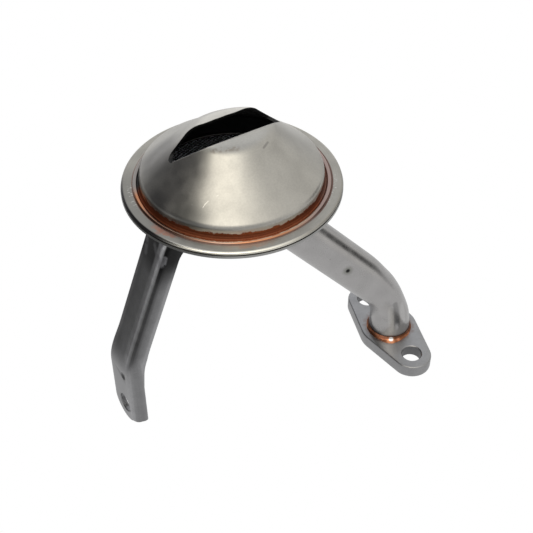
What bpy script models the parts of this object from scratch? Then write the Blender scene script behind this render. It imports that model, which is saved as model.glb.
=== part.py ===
"""Engine oil pickup: a pressed strainer head on a bent tube with a two-bolt flange and a support bracket.

Metres, +Z up. The pickup stands as it is laid on a bench: on its flange and on the end of the bracket, inlet up.
X runs nearly along the inlet slot, and the bracket faces -X. The origin is under the middle of the whole piece.
Everything is first placed from the axis of the tube where it leaves the flange, at the flange's sealing face.
"""
import math

import bmesh
import bpy
from mathutils import Matrix, Vector

# Clearance between brazed or seated pieces
SEAT_GAP = 0.0003

# Mounting flange
FLANGE_THICKNESS = 0.006
FLANGE_WAIST_RADIUS = 0.0133
FLANGE_TIP_RADIUS = 0.0089
FLANGE_CHAMFER = 0.0005
BOLT_SPACING = 0.0395
BOLT_HOLE_RADIUS = 0.0044
BOLT_LINE_ANGLE = math.radians(82.9)
TUBE_SEAT_HEIGHT = 0.0015

# Tube
TUBE_RADIUS = 0.0093
TUBE_WALL = 0.0015
TUBE_CORNER_HEIGHT = 0.0257
TUBE_BEND_RADIUS = 0.028
TUBE_BEND_FLATTENING = 0.0021
TUBE_SLOPE = math.radians(47.0)
TUBE_HEADING = math.radians(159.4)
TUBE_REACH_INSIDE = 0.0055

# Place of the strainer head: the top face of its rim, and how far below it the tube aims at the head's axis
RIM_HEIGHT = 0.10635
TUBE_AIM_DEPTH = 0.003

# Rim: an upper sheet with a rolled lip, over the edge of the pan
RIM_FACE_WIDTH = 0.0044
RIM_SHEET = 0.0011
RIM_EDGE_ROUND = 0.00045
LIP_WIDTH = 0.0019
LIP_HEIGHT = 0.0008
BRAZE_GROOVE = 0.001

# Inlet cover, heights from the top face of the rim
COVER_SHEET = 0.0012
SKIRT_RADIUS = 0.0359
SKIRT_DEPTH = 0.0026
SHOULDER_HEIGHT = 0.0056
SHOULDER_ROUND = 0.003
CROWN_HEIGHT = 0.025
CROWN_RADIUS = 0.0152
CROWN_ROUND = 0.0026
FLANK_FLARE = 0.0006
CROWN_FAR_SLOPE = 0.33

# Inlet slot, cut straight through the crown: an upright far side and a sloping near side
SLOT_TURN = math.radians(-1.7)
SLOT_HALF_WIDTH = 0.0071
SLOT_DEPTH = 0.0098
SLOT_NEAR_SLOPE = math.radians(43.0)
SLOT_ROUND = 0.0022

# Screen and its clamping ring
SCREEN_THICKNESS = 0.0008
SCREEN_RIDGE = 0.0003
SCREEN_PITCH = 0.0068
SCREEN_GAP_WIDTH = 0.0052
SCREEN_EDGE_CLEARANCE = 0.0005
SCREEN_MARGIN = 0.0003
RING_THICKNESS = 0.001
RING_WIDTH = 0.002

# Strainer body, a pan whose edge is the lower sheet of the rim
PAN_SHEET = 0.0011
PAN_EDGE_OVERHANG = 0.0002
PAN_WALL_CLEARANCE = 0.0004
PAN_LEDGE_WIDTH = 0.0113
PAN_FLOOR_RADIUS = 0.0052
PAN_CORNER_ROUND = 0.0003
PAN_DRAW_ROUND = 0.0024

# Support bracket, an L section: a web that faces -X and a side flange on its -Y edge
BRACKET_SHEET = 0.0023
BRACKET_WEB_WIDTH = 0.0167
BRACKET_FLANGE_LOWER = 0.0064
BRACKET_FLANGE_UPPER = 0.008
BRACKET_FLARE_HEIGHT = 0.022
BRACKET_RIDGE_ROUND = 0.0023
BRACKET_INNER_ROUND = 0.0006
BRACKET_EDGE_ROUND = 0.0004
BRACKET_BEARING = math.radians(196.8)
BRACKET_STAND_OFF = 0.0004
BRACKET_KNEE_HEIGHT = 0.0399
BRACKET_LEAN_IN = math.radians(19.3)
BRACKET_LEAN_SIDE = math.radians(3.1)
BRACKET_TWIST = math.radians(9.5)
BRACKET_KNEE_BEND = 0.06
BRACKET_TOP_BEND = 0.008
BRACKET_GUSSET_RADIUS = 0.0115
BRACKET_GUSSET_DEPTH = 0.0043
BRACKET_PAD_LENGTH = 0.0067
BRACKET_HOLE_RADIUS = 0.0044
BRACKET_HOLE_INSET = 0.0079
BRACKET_END_RADIUS = 0.00865
BRACKET_END_BLEND = 0.0012
BRACKET_TOE_OUTER_HEIGHT = 0.0002
BRACKET_TOE_ROUND = 0.0015
DIMPLE_HEIGHT = 0.0225
DIMPLE_INSET = 0.0086
DIMPLE_BALL_RADIUS = 0.004
DIMPLE_DEPTH = 0.0005

# Braze fillets
FILLET_SIZE = 0.0016
PAD_FILLET_REACH = 0.0008
PAD_FILLET_DROP = 0.0012
FOOT_FILLET_REACH = 0.0007
FOOT_BLOB_REACH = 0.0013
FOOT_BLOB_ANGLE = math.radians(-124.0)
FOOT_BLOB_WIDTH = math.radians(22.0)

# Facets
HEAD_SEGMENTS = 56
PAN_SEGMENTS = 40
TUBE_SEGMENTS = 32
HOLE_SEGMENTS = 24
BEND_STEPS = 7

# Derived sizes and places
BORE_RADIUS = TUBE_RADIUS - TUBE_WALL
TUBE_INWARD = Vector((math.cos(TUBE_HEADING), math.sin(TUBE_HEADING), 0.0))
TUBE_DIRECTION = TUBE_INWARD * math.cos(TUBE_SLOPE) + Vector((0.0, 0.0, math.sin(TUBE_SLOPE)))
TUBE_CORNER = Vector((0.0, 0.0, TUBE_CORNER_HEIGHT))
HEAD_DISTANCE = (RIM_HEIGHT - TUBE_AIM_DEPTH - TUBE_CORNER_HEIGHT) / math.tan(TUBE_SLOPE)
HEAD_CENTRE = TUBE_INWARD * HEAD_DISTANCE + Vector((0.0, 0.0, RIM_HEIGHT))
HEAD_PLACE = Matrix.Translation(HEAD_CENTRE)
COVER_PLACE = HEAD_PLACE @ Matrix.Rotation(SLOT_TURN, 4, "Z")
LIP_INNER_RADIUS = SKIRT_RADIUS + BRAZE_GROOVE
LIP_OUTER_RADIUS = LIP_INNER_RADIUS + LIP_WIDTH
RIM_RADIUS = LIP_OUTER_RADIUS + RIM_FACE_WIDTH
PAN_EDGE_TOP = -RIM_SHEET - SEAT_GAP
PAN_EDGE_RADIUS = RIM_RADIUS + PAN_EDGE_OVERHANG
PAN_INNER_RADIUS = SKIRT_RADIUS + PAN_WALL_CLEARANCE
PAN_LEDGE_INNER_RADIUS = PAN_INNER_RADIUS - PAN_LEDGE_WIDTH
PAN_WALL_ANGLE = math.pi / 2 - TUBE_SLOPE
SCREEN_RADIUS = PAN_INNER_RADIUS - SCREEN_EDGE_CLEARANCE
RING_INNER_RADIUS = SCREEN_RADIUS - RING_WIDTH
SCREEN_OPEN_RADIUS = RING_INNER_RADIUS - SCREEN_MARGIN
RING_TOP = -SKIRT_DEPTH - SEAT_GAP
SCREEN_TOP = RING_TOP - RING_THICKNESS - SEAT_GAP
LEDGE_TOP = SCREEN_TOP - SCREEN_THICKNESS - SEAT_GAP
PAN_FLOOR_TOP = LEDGE_TOP - (PAN_LEDGE_INNER_RADIUS - PAN_FLOOR_RADIUS) * math.tan(PAN_WALL_ANGLE)
BRACKET_PAD_TOP = RIM_HEIGHT + LEDGE_TOP - PAN_SHEET - SEAT_GAP
BRACKET_REACH = PAN_INNER_RADIUS + PAN_SHEET + BRACKET_STAND_OFF


def clear_scene():
    for obj in list(bpy.data.objects):
        bpy.data.objects.remove(obj, do_unlink=True)


def make_material(name, colour, roughness):
    material = bpy.data.materials.new(name)
    material.use_nodes = True
    shader = material.node_tree.nodes["Principled BSDF"]
    shader.inputs["Base Color"].default_value = (*colour, 1.0)
    shader.inputs["Roughness"].default_value = roughness
    shader.inputs["Metallic"].default_value = 1.0
    material.diffuse_color = (*colour, 1.0)
    return material


def make_object(name, builder, material, root, sharp_angle=35.0):
    """Closed bmesh to a smooth-shaded object under the root empty."""
    bmesh.ops.remove_doubles(builder, verts=builder.verts, dist=1e-7)
    bmesh.ops.recalc_face_normals(builder, faces=builder.faces)
    mesh = bpy.data.meshes.new(name)
    builder.to_mesh(mesh)
    builder.free()
    mesh.shade_smooth()
    mesh.set_sharp_from_angle(angle=math.radians(sharp_angle))
    if material:
        mesh.materials.append(material)
    obj = bpy.data.objects.new(name, mesh)
    obj.parent = root
    bpy.context.scene.collection.objects.link(obj)
    return obj


def cut(obj, name, builder, operation="DIFFERENCE"):
    """Boolean of an object with a hidden cutter."""
    cutter = make_object(name, builder, None, obj.parent)
    cutter.hide_render = True
    cutter.display_type = "WIRE"
    modifier = obj.modifiers.new(name, "BOOLEAN")
    modifier.operation = operation
    modifier.solver = "EXACT"
    modifier.object = cutter


def rounded(corners, steps=2):
    """Chain of points from (point, radius) corners, each corner with a radius turned into an arc."""
    chain = []
    last = len(corners) - 1
    for index, (point, radius) in enumerate(corners):
        here = Vector(point)
        if radius == 0.0 or index in (0, last):
            chain.append(here)
            continue
        back = (Vector(corners[index - 1][0]) - here).normalized()
        ahead = (Vector(corners[index + 1][0]) - here).normalized()
        half_turn = (math.pi - back.angle(ahead)) / 2
        tangent = radius * math.tan(half_turn)
        centre = here + (back + ahead).normalized() * (radius / math.cos(half_turn))
        start = (here + back * tangent - centre).normalized()
        end = (here + ahead * tangent - centre).normalized()
        for step in range(steps + 1):
            chain.append(centre + start.slerp(end, step / steps) * radius)
    return chain


def thickened(chain, thickness):
    """Closed profile of a sheet: the chain, then the chain moved to its left by the thickness."""
    far_side = []
    for index, point in enumerate(chain):
        before = chain[index - 1] if index else point * 2 - chain[1]
        after = chain[index + 1] if index + 1 < len(chain) else point * 2 - before
        into = (point - before).normalized()
        out = (after - point).normalized()
        along = (into + out).normalized()
        shifted = point + Vector((-along.y, along.x)) * (thickness / along.dot(out))
        if point.x < SEAT_GAP:
            shifted.x = 0.0
        far_side.append(shifted)
    return chain + far_side[::-1]


def revolved(profile, segments):
    """Solid of revolution about Z from a closed loop of (radius, height) points."""
    builder = bmesh.new()
    rings = []
    for radius, height in profile:
        if radius == 0.0:
            rings.append([builder.verts.new((0.0, 0.0, height))])
            continue
        ring = []
        for step in range(segments):
            turn = 2 * math.pi * step / segments
            ring.append(builder.verts.new((radius * math.cos(turn), radius * math.sin(turn), height)))
        rings.append(ring)
    for lower, upper in zip(rings, rings[1:] + rings[:1]):
        if len(lower) == 1 and len(upper) == 1:
            continue
        for step in range(segments):
            after = (step + 1) % segments
            corners = (
                lower[step % len(lower)],
                lower[after % len(lower)],
                upper[after % len(upper)],
                upper[step % len(upper)])
            builder.faces.new(list(dict.fromkeys(corners)))
    return builder


def on_head(builder, place=HEAD_PLACE):
    """Moves a piece that was made about the head's own axis to its place."""
    bmesh.ops.transform(builder, matrix=place, verts=builder.verts)
    return builder


def bridge(builder, loops, closed):
    """Bands of quads between neighbouring point loops, and on to the first loop again if closed."""
    rings = [[builder.verts.new(point) for point in loop] for loop in loops]
    pairs = list(zip(rings, rings[1:]))
    if closed:
        pairs.append((rings[-1], rings[0]))
    for lower, upper in pairs:
        count = len(lower)
        for step in range(count):
            after = (step + 1) % count
            builder.faces.new((lower[step], lower[after], upper[after], upper[step]))
    return rings


def lofted(sections):
    """Closed solid through a row of closed sections with equal point counts, capped at both ends."""
    builder = bmesh.new()
    rings = bridge(builder, sections, closed=False)
    builder.faces.new(rings[0][::-1])
    builder.faces.new(rings[-1])
    return builder


def cylinder(radius, length, segments, start, direction=Vector((0.0, 0.0, 1.0))):
    builder = bmesh.new()
    turn = Vector((0.0, 0.0, 1.0)).rotation_difference(direction).to_matrix().to_4x4()
    place = Matrix.Translation(start + direction * (length / 2)) @ turn
    bmesh.ops.create_cone(
        builder, cap_ends=True, segments=segments, radius1=radius, radius2=radius, depth=length, matrix=place)
    return builder


def circle(centre, across, side, radius, segments=TUBE_SEGMENTS):
    """Points round a centre in the plane of two unit vectors."""
    points = []
    for step in range(segments):
        turn = 2 * math.pi * step / segments
        points.append(centre + (across * math.cos(turn) + side * math.sin(turn)) * radius)
    return points


def arc(centre_x, radius, first, last, steps):
    points = []
    for step in range(steps + 1):
        turn = first + (last - first) * step / steps
        points.append(Vector((centre_x + radius * math.cos(turn), radius * math.sin(turn))))
    return points


def flange_outline(inset):
    """Two tip arcs and two waist arcs joined by their tangents, turned to the bolt line."""
    reach = BOLT_SPACING / 2
    waist = FLANGE_WAIST_RADIUS - inset
    tip = FLANGE_TIP_RADIUS - inset
    tangent = math.acos((waist - tip) / reach)
    points = arc(reach, tip, -tangent, tangent, 12)
    points += arc(0.0, waist, tangent, math.pi - tangent, 4)
    points += arc(-reach, tip, math.pi - tangent, math.pi + tangent, 12)
    points += arc(0.0, waist, math.pi + tangent, 2 * math.pi - tangent, 4)
    turn = Matrix.Rotation(BOLT_LINE_ANGLE, 2)
    return [turn @ point for point in points]


def build_flange(steel, root):
    levels = (
        (0.0, FLANGE_CHAMFER / 2),
        (FLANGE_CHAMFER / 2, 0.0),
        (FLANGE_THICKNESS - FLANGE_CHAMFER, 0.0),
        (FLANGE_THICKNESS, FLANGE_CHAMFER))
    sections = []
    for height, inset in levels:
        sections.append([(point.x, point.y, height) for point in flange_outline(inset)])
    flange = make_object("mounting_flange", lofted(sections), steel, root)

    below = Vector((0.0, 0.0, -FLANGE_THICKNESS))
    through = FLANGE_THICKNESS * 3
    cut(flange, "flange_bore", cylinder(BORE_RADIUS, through, TUBE_SEGMENTS, below))
    seat = Vector((0.0, 0.0, TUBE_SEAT_HEIGHT))
    cut(flange, "flange_tube_seat", cylinder(TUBE_RADIUS + SEAT_GAP, through, TUBE_SEGMENTS, seat))
    bolt_line = Vector((math.cos(BOLT_LINE_ANGLE), math.sin(BOLT_LINE_ANGLE), 0.0))
    for name, offset in (("near_bolt_hole", -BOLT_SPACING / 2), ("far_bolt_hole", BOLT_SPACING / 2)):
        cut(flange, name, cylinder(BOLT_HOLE_RADIUS, through, HOLE_SEGMENTS, below + bolt_line * offset))


def wall_entry():
    """Where the tube's axis meets the outer face of the pan's sloping wall."""
    wall_slope = math.tan(PAN_WALL_ANGLE)
    tube_slope = math.tan(TUBE_SLOPE)
    reach = (-TUBE_AIM_DEPTH - pan_underside(0.0)) / (tube_slope + wall_slope)
    return TUBE_CORNER + TUBE_DIRECTION * ((HEAD_DISTANCE - reach) / math.cos(TUBE_SLOPE))


def pan_underside(radius):
    """Height of the outer face of the pan's sloping wall at a radius, from the top face of the rim."""
    drop = PAN_SHEET / math.cos(PAN_WALL_ANGLE)
    return LEDGE_TOP - drop - (PAN_LEDGE_INNER_RADIUS - radius) * math.tan(PAN_WALL_ANGLE)


def tube_path():
    """Point, direction and flattening down the middle of the tube, from its seat in the flange to the pan."""
    up = Vector((0.0, 0.0, 1.0))
    turn = math.pi / 2 - TUBE_SLOPE
    bend_start = TUBE_CORNER - up * (TUBE_BEND_RADIUS * math.tan(turn / 2))
    centre = bend_start + TUBE_INWARD * TUBE_BEND_RADIUS
    path = [(Vector((0.0, 0.0, TUBE_SEAT_HEIGHT + SEAT_GAP)), up, 0.0)]
    for step in range(BEND_STEPS + 1):
        angle = turn * step / BEND_STEPS
        spoke = up * math.sin(angle) - TUBE_INWARD * math.cos(angle)
        way = up * math.cos(angle) + TUBE_INWARD * math.sin(angle)
        flat = TUBE_BEND_FLATTENING * math.sin(math.pi * step / BEND_STEPS)
        path.append((centre + spoke * TUBE_BEND_RADIUS, way, flat))
    path.append((wall_entry() + TUBE_DIRECTION * TUBE_REACH_INSIDE, TUBE_DIRECTION, 0.0))
    return path


def tube_loop(point, way, flat, radius):
    """Section of the tube. Its outer side, away from the bend's centre, is pulled in by the flattening."""
    side = Vector((0.0, 0.0, 1.0)).cross(TUBE_INWARD)
    across = side.cross(way)
    loop = []
    for corner in circle(point, across, side, radius):
        outward = min((corner - point).dot(across) / radius, 0.0)
        loop.append(corner + across * (flat * outward * outward))
    return loop


def build_tube(steel, root):
    outer = [tube_loop(*station, TUBE_RADIUS) for station in tube_path()]
    inner = [tube_loop(*station, BORE_RADIUS) for station in tube_path()]
    builder = bmesh.new()
    bridge(builder, outer + inner[::-1], closed=True)
    make_object("pickup_tube", builder, steel, root)


def cover_chain():
    """Outer face of the cover from the foot of its skirt to the axis, with a slightly flared flank."""
    low = Vector((SKIRT_RADIUS, SHOULDER_HEIGHT))
    high = Vector((CROWN_RADIUS, CROWN_HEIGHT))
    run = high - low
    inward = Vector((-run.y, run.x)).normalized()
    corners = [((SKIRT_RADIUS, -SKIRT_DEPTH), 0.0), (low, SHOULDER_ROUND)]
    for share in (0.25, 0.5, 0.75):
        sag = FLANK_FLARE * 4 * share * (1 - share)
        corners.append((low + run * share + inward * sag, 0.0))
    corners += [(high, CROWN_ROUND), ((0.0, CROWN_HEIGHT), 0.0)]
    return rounded(corners)


def crown_droop(point):
    """How far the cover is pressed down beyond the slot's far side. It fades out at the shoulder."""
    radius = point.xy.length
    beyond = point.y * min(CROWN_RADIUS / max(radius, CROWN_RADIUS), 1.0) - SLOT_HALF_WIDTH
    fade = (point.z - SHOULDER_HEIGHT) / (CROWN_HEIGHT - SHOULDER_HEIGHT)
    return CROWN_FAR_SLOPE * max(beyond, 0.0) * min(max(fade, 0.0), 1.0)


def slot_outline():
    """Section across the slot: (distance from the head's axis, height above the rim)."""
    bottom = CROWN_HEIGHT - SLOT_DEPTH
    above = CROWN_HEIGHT + SLOT_DEPTH
    run = 1 / math.tan(SLOT_NEAR_SLOPE)
    corners = (
        ((-SLOT_HALF_WIDTH - SLOT_DEPTH * run, above), 0.0),
        ((-SLOT_HALF_WIDTH + SLOT_DEPTH * run, bottom), SLOT_ROUND),
        ((SLOT_HALF_WIDTH, bottom), SLOT_ROUND),
        ((SLOT_HALF_WIDTH, above), 0.0))
    return rounded(corners, steps=4)


def build_cover(steel, root):
    builder = revolved(thickened(cover_chain(), COVER_SHEET), HEAD_SEGMENTS)
    for vertex in builder.verts:
        vertex.co.z -= crown_droop(vertex.co)
    cover = make_object("inlet_cover", on_head(builder, COVER_PLACE), steel, root)
    sections = []
    for along in (-SKIRT_RADIUS, SKIRT_RADIUS):
        sections.append([(along, point.x, point.y) for point in slot_outline()])
    cut(cover, "inlet_slot", on_head(lofted(sections), COVER_PLACE))


def build_rim_ring(steel, root):
    crest = (LIP_OUTER_RADIUS + LIP_INNER_RADIUS) / 2
    corners = (
        ((crest, -RIM_SHEET), 0.0),
        ((RIM_RADIUS, -RIM_SHEET), 0.0),
        ((RIM_RADIUS, 0.0), RIM_EDGE_ROUND),
        ((LIP_OUTER_RADIUS, 0.0), 0.0),
        ((LIP_OUTER_RADIUS - LIP_HEIGHT / 4, LIP_HEIGHT), LIP_HEIGHT / 2),
        ((LIP_INNER_RADIUS, LIP_HEIGHT), LIP_HEIGHT * 0.8),
        ((LIP_INNER_RADIUS, -RIM_SHEET), 0.0))
    make_object("rim_ring", on_head(revolved(rounded(corners), HEAD_SEGMENTS)), steel, root)


def pan_chain():
    """Upper face of the pan from the edge of its rim in to the axis."""
    corners = (
        ((PAN_EDGE_RADIUS, PAN_EDGE_TOP), 0.0),
        ((PAN_INNER_RADIUS, PAN_EDGE_TOP), PAN_CORNER_ROUND + PAN_SHEET),
        ((PAN_INNER_RADIUS, LEDGE_TOP), PAN_CORNER_ROUND),
        ((PAN_LEDGE_INNER_RADIUS, LEDGE_TOP), PAN_DRAW_ROUND),
        ((PAN_FLOOR_RADIUS, PAN_FLOOR_TOP), PAN_DRAW_ROUND),
        ((0.0, PAN_FLOOR_TOP), 0.0))
    return rounded(corners)


def build_strainer_body(steel, root):
    profile = thickened(pan_chain(), PAN_SHEET)
    body = make_object("strainer_body", on_head(revolved(profile, PAN_SEGMENTS)), steel, root)
    depth = TUBE_REACH_INSIDE * 2
    start = wall_entry() - TUBE_DIRECTION * depth
    hole = cylinder(TUBE_RADIUS + SEAT_GAP, depth * 2, TUBE_SEGMENTS, start, TUBE_DIRECTION)
    cut(body, "strainer_tube_hole", hole)


def build_screen_ring(steel, root):
    profile = (
        (RING_INNER_RADIUS, RING_TOP - RING_THICKNESS),
        (SCREEN_RADIUS, RING_TOP - RING_THICKNESS),
        (SCREEN_RADIUS, RING_TOP),
        (RING_INNER_RADIUS, RING_TOP))
    make_object("screen_ring", on_head(revolved(profile, PAN_SEGMENTS)), steel, root)


def build_screen(steel, root):
    """Disc with a square lattice of gaps, ridged along the bars between them as wires are, and a flat margin."""
    bottom = SCREEN_TOP - SCREEN_THICKNESS
    signs = ((-1, -1), (1, -1), (1, 1), (-1, 1))
    half_cell = SCREEN_PITCH / 2
    half_gap = SCREEN_GAP_WIDTH / 2
    levels = (
        (half_cell, SCREEN_TOP),
        (half_gap, SCREEN_TOP - SCREEN_RIDGE),
        (half_gap, bottom),
        (half_cell, bottom))
    reach = math.ceil(SCREEN_RADIUS / SCREEN_PITCH) + 1
    cells = set()
    for column in range(-reach, reach + 1):
        for row in range(-reach, reach + 1):
            if math.hypot(column, row) * SCREEN_PITCH < SCREEN_RADIUS + SCREEN_PITCH:
                cells.add((column, row))

    builder = bmesh.new()
    for column, row in sorted(cells):
        loops = []
        for half, height in levels:
            loops.append([
                builder.verts.new((column * SCREEN_PITCH + x * half, row * SCREEN_PITCH + y * half, height))
                for x, y in signs])
        corner = math.hypot(abs(column) + 0.5, abs(row) + 0.5) * SCREEN_PITCH
        is_open = corner < SCREEN_OPEN_RADIUS
        if not is_open:
            builder.faces.new(loops[0])
            builder.faces.new(loops[3][::-1])
        for step, (across, up) in enumerate(((0, -1), (1, 0), (0, 1), (-1, 0))):
            after = (step + 1) % 4
            bands = list(zip(loops, loops[1:])) if is_open else []
            if (column + across, row + up) not in cells:
                bands.append((loops[3], loops[0]))
            for outer, inner in bands:
                builder.faces.new((outer[step], outer[after], inner[after], inner[step]))
    screen = make_object("screen_mesh", on_head(builder), steel, root)
    start = Vector((0.0, 0.0, bottom - SCREEN_THICKNESS))
    disc = on_head(cylinder(SCREEN_RADIUS, SCREEN_THICKNESS * 3, PAN_SEGMENTS, start))
    cut(screen, "screen_disc", disc, "INTERSECT")


def build_cover_braze(copper, root):
    inner = SKIRT_RADIUS + SEAT_GAP
    outer = LIP_INNER_RADIUS - SEAT_GAP
    profile = ((inner, -RIM_SHEET), (outer, -RIM_SHEET), (outer, 0.0), (inner, FILLET_SIZE / 2))
    make_object("cover_braze", on_head(revolved(profile, HEAD_SEGMENTS)), copper, root)


def build_flange_braze(copper, root):
    """Fillet round the foot of the tube, with a run-out blob on one side."""
    inner = TUBE_RADIUS + SEAT_GAP
    base = FLANGE_THICKNESS + SEAT_GAP
    profile = (
        (inner, base),
        (inner + FOOT_FILLET_REACH, base),
        (inner + FOOT_FILLET_REACH * 0.65, base + FILLET_SIZE * 0.45),
        (inner + FOOT_FILLET_REACH * 0.25, base + FILLET_SIZE),
        (inner, base + FILLET_SIZE))
    builder = revolved(profile, TUBE_SEGMENTS)
    for vertex in builder.verts:
        turn = math.atan2(vertex.co.y, vertex.co.x) - FOOT_BLOB_ANGLE
        turn = math.atan2(math.sin(turn), math.cos(turn))
        swell = math.exp(-(turn / FOOT_BLOB_WIDTH) ** 2)
        radius = vertex.co.xy.length
        share = (radius - inner) / FOOT_FILLET_REACH
        wider = (radius + FOOT_BLOB_REACH * swell * share) / radius
        vertex.co.x *= wider
        vertex.co.y *= wider
    make_object("flange_braze", builder, copper, root)


def distance_to_pan(point):
    """How far a point is from the pan's lower face, wall or floor, along the tube's direction."""
    near = 0.0
    far = TUBE_RADIUS * 4
    for _ in range(30):
        middle = (near + far) / 2
        probe = point + TUBE_DIRECTION * middle - HEAD_CENTRE
        under = max(PAN_FLOOR_TOP - PAN_SHEET, pan_underside(probe.xy.length))
        if probe.z < under:
            near = middle
        else:
            far = middle
    return near


def build_tube_braze(copper, root):
    """Fillet round the tube where it enters the pan. It follows the pan's wall all the way round."""
    side = Vector((0.0, 0.0, 1.0)).cross(TUBE_INWARD)
    across = side.cross(TUBE_DIRECTION)
    start = wall_entry() - TUBE_DIRECTION * (TUBE_RADIUS * 1.5)
    outline = ((0.0, FILLET_SIZE), (0.0, 0.0), (FILLET_SIZE, 0.0), (FILLET_SIZE * 0.35, FILLET_SIZE * 0.35))
    loops = []
    for reach, back in outline:
        radius = TUBE_RADIUS + SEAT_GAP + reach
        loop = []
        for foot in circle(start, across, side, radius):
            loop.append(foot + TUBE_DIRECTION * (distance_to_pan(foot) - SEAT_GAP - back))
        loops.append(loop)
    builder = bmesh.new()
    bridge(builder, loops, closed=True)
    make_object("tube_braze", builder, copper, root)


class BracketFrame:
    """Lines and directions of the bracket, down from its seat under the pan's ledge to its foot."""

    def __init__(self):
        self.lean = Vector((math.tan(BRACKET_LEAN_IN), -math.tan(BRACKET_LEAN_SIDE), 1.0))
        self.web_across = Vector((math.sin(BRACKET_TWIST), math.cos(BRACKET_TWIST), 0.0))
        self.pad_way = Vector((self.web_across.y, -self.web_across.x, 0.0))
        bearing = Vector((math.cos(BRACKET_BEARING), math.sin(BRACKET_BEARING), 0.0))
        self.top = (HEAD_CENTRE + bearing * BRACKET_REACH).xy.to_3d()
        self.top.z = BRACKET_PAD_TOP
        self.knee = self.top - self.lean * (BRACKET_PAD_TOP - BRACKET_KNEE_HEIGHT)
        self.foot = self.knee.xy.to_3d()
        self.pad_end = self.top + self.pad_way * BRACKET_PAD_LENGTH
        inward = self.web_across.cross(self.lean).normalized()
        drop = Vector((0.0, 0.0, -BRACKET_GUSSET_DEPTH - BRACKET_GUSSET_RADIUS))
        reach = BRACKET_FLANGE_UPPER + BRACKET_GUSSET_RADIUS - drop.dot(inward)
        self.gusset_centre = self.top + drop + self.pad_way * (reach / self.pad_way.dot(inward))
        along = self.lean.normalized()
        self.gusset_start = self.top + along * (self.gusset_centre - self.top).dot(along)


def bracket_section(flange_width):
    """L section from its outer corner: x across the web, y across the side flange."""
    sheet = BRACKET_SHEET
    edge = BRACKET_EDGE_ROUND
    middle = Vector((BRACKET_WEB_WIDTH, sheet / 2))
    outside = rounded((
        (middle, 0.0),
        ((BRACKET_WEB_WIDTH, 0.0), edge),
        ((0.0, 0.0), BRACKET_RIDGE_ROUND),
        ((0.0, flange_width), edge),
        ((sheet / 2, flange_width), 0.0)), steps=3)
    inside = rounded((
        ((sheet / 2, flange_width), 0.0),
        ((sheet, flange_width), edge),
        ((sheet, sheet), BRACKET_INNER_ROUND),
        ((BRACKET_WEB_WIDTH, sheet), edge),
        (middle, 0.0)))
    return outside[:-1] + inside[:-1]


def bracket_sections(frame):
    """Sections up the ridge. From the gusset's start on, the side flange points to the centre of the gusset's edge."""
    up = Vector((0.0, 0.0, 1.0))
    root_width = BRACKET_SHEET + BRACKET_INNER_ROUND
    corners = (
        (frame.foot - up * BRACKET_SHEET, 0.0),
        (frame.foot + up * BRACKET_FLARE_HEIGHT, 0.0),
        (frame.knee, BRACKET_KNEE_BEND),
        (frame.gusset_start, 0.0),
        (frame.top, BRACKET_TOP_BEND),
        (frame.pad_end, 0.0))
    steps = 6
    ridge = rounded(corners, steps)
    sections = []
    for index, point in enumerate(ridge):
        before = ridge[max(index - 1, 0)]
        after = ridge[min(index + 1, len(ridge) - 1)]
        way = (after - before).normalized()
        twist = min(max((index - 2) / steps, 0.0), 1.0)
        web = Vector((0.0, 1.0, 0.0)).lerp(frame.web_across, twist)
        web = (web - way * web.dot(way)).normalized()
        inward = web.cross(way)
        root = point + inward * root_width
        share = (point.z - BRACKET_FLARE_HEIGHT) / (BRACKET_KNEE_HEIGHT - BRACKET_FLARE_HEIGHT)
        share = min(max(share, 0.0), 1.0)
        width = BRACKET_FLANGE_LOWER + (BRACKET_FLANGE_UPPER - BRACKET_FLANGE_LOWER) * share
        outward = inward
        if point.z >= frame.gusset_start.z:
            outward = (frame.gusset_centre - root).normalized()
            width = root_width + (frame.gusset_centre - root).length - BRACKET_GUSSET_RADIUS
        section = []
        for flat in bracket_section(width):
            beyond = max(flat.y - root_width, 0.0)
            section.append(point + web * flat.x + inward * (flat.y - beyond) + outward * beyond)
        sections.append(section)
    return sections


def bracket_end_cutter(foot):
    """Everything below the round end of the web, up to where the ridge's own end takes over."""
    reach = BRACKET_END_RADIUS * 2
    below = -BRACKET_SHEET * 2
    centre = foot.y + BRACKET_HOLE_INSET
    last = -math.acos((BRACKET_END_BLEND - BRACKET_HOLE_INSET) / BRACKET_END_RADIUS)
    outline = [
        Vector((foot.y + BRACKET_END_BLEND, below)),
        Vector((centre + reach, below)),
        Vector((centre + reach, BRACKET_END_RADIUS))]
    for point in arc(centre, BRACKET_END_RADIUS, 0.0, last, 16):
        outline.append(point + Vector((0.0, BRACKET_END_RADIUS)))
    sections = []
    for along in (-BRACKET_SHEET, BRACKET_SHEET + BRACKET_INNER_ROUND):
        sections.append([(foot.x + along, point.x, point.y) for point in outline])
    return lofted(sections)


def bracket_toe_cutter(foot, start, width):
    """Everything below the slanted end of the side flange, from a place across it, over a width from its face."""
    run = BRACKET_HOLE_INSET - BRACKET_END_BLEND
    ridge_height = BRACKET_END_RADIUS - math.sqrt(BRACKET_END_RADIUS ** 2 - run ** 2)
    drop = (ridge_height - BRACKET_TOE_OUTER_HEIGHT) / BRACKET_FLANGE_LOWER
    below = -BRACKET_SHEET * 2
    beyond = BRACKET_FLANGE_LOWER + BRACKET_SHEET
    outline = rounded((
        ((start, ridge_height - drop * start), 0.0),
        ((BRACKET_FLANGE_LOWER, BRACKET_TOE_OUTER_HEIGHT), BRACKET_TOE_ROUND),
        ((beyond - BRACKET_SHEET / 2, BRACKET_END_RADIUS), 0.0)), steps=4)
    outline += [Vector((beyond, BRACKET_END_RADIUS)), Vector((beyond, below)), Vector((start, below))]
    sections = []
    for across in (-BRACKET_SHEET, width):
        sections.append([(foot.x + point.x, foot.y + across, point.y) for point in outline])
    return lofted(sections)


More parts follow.
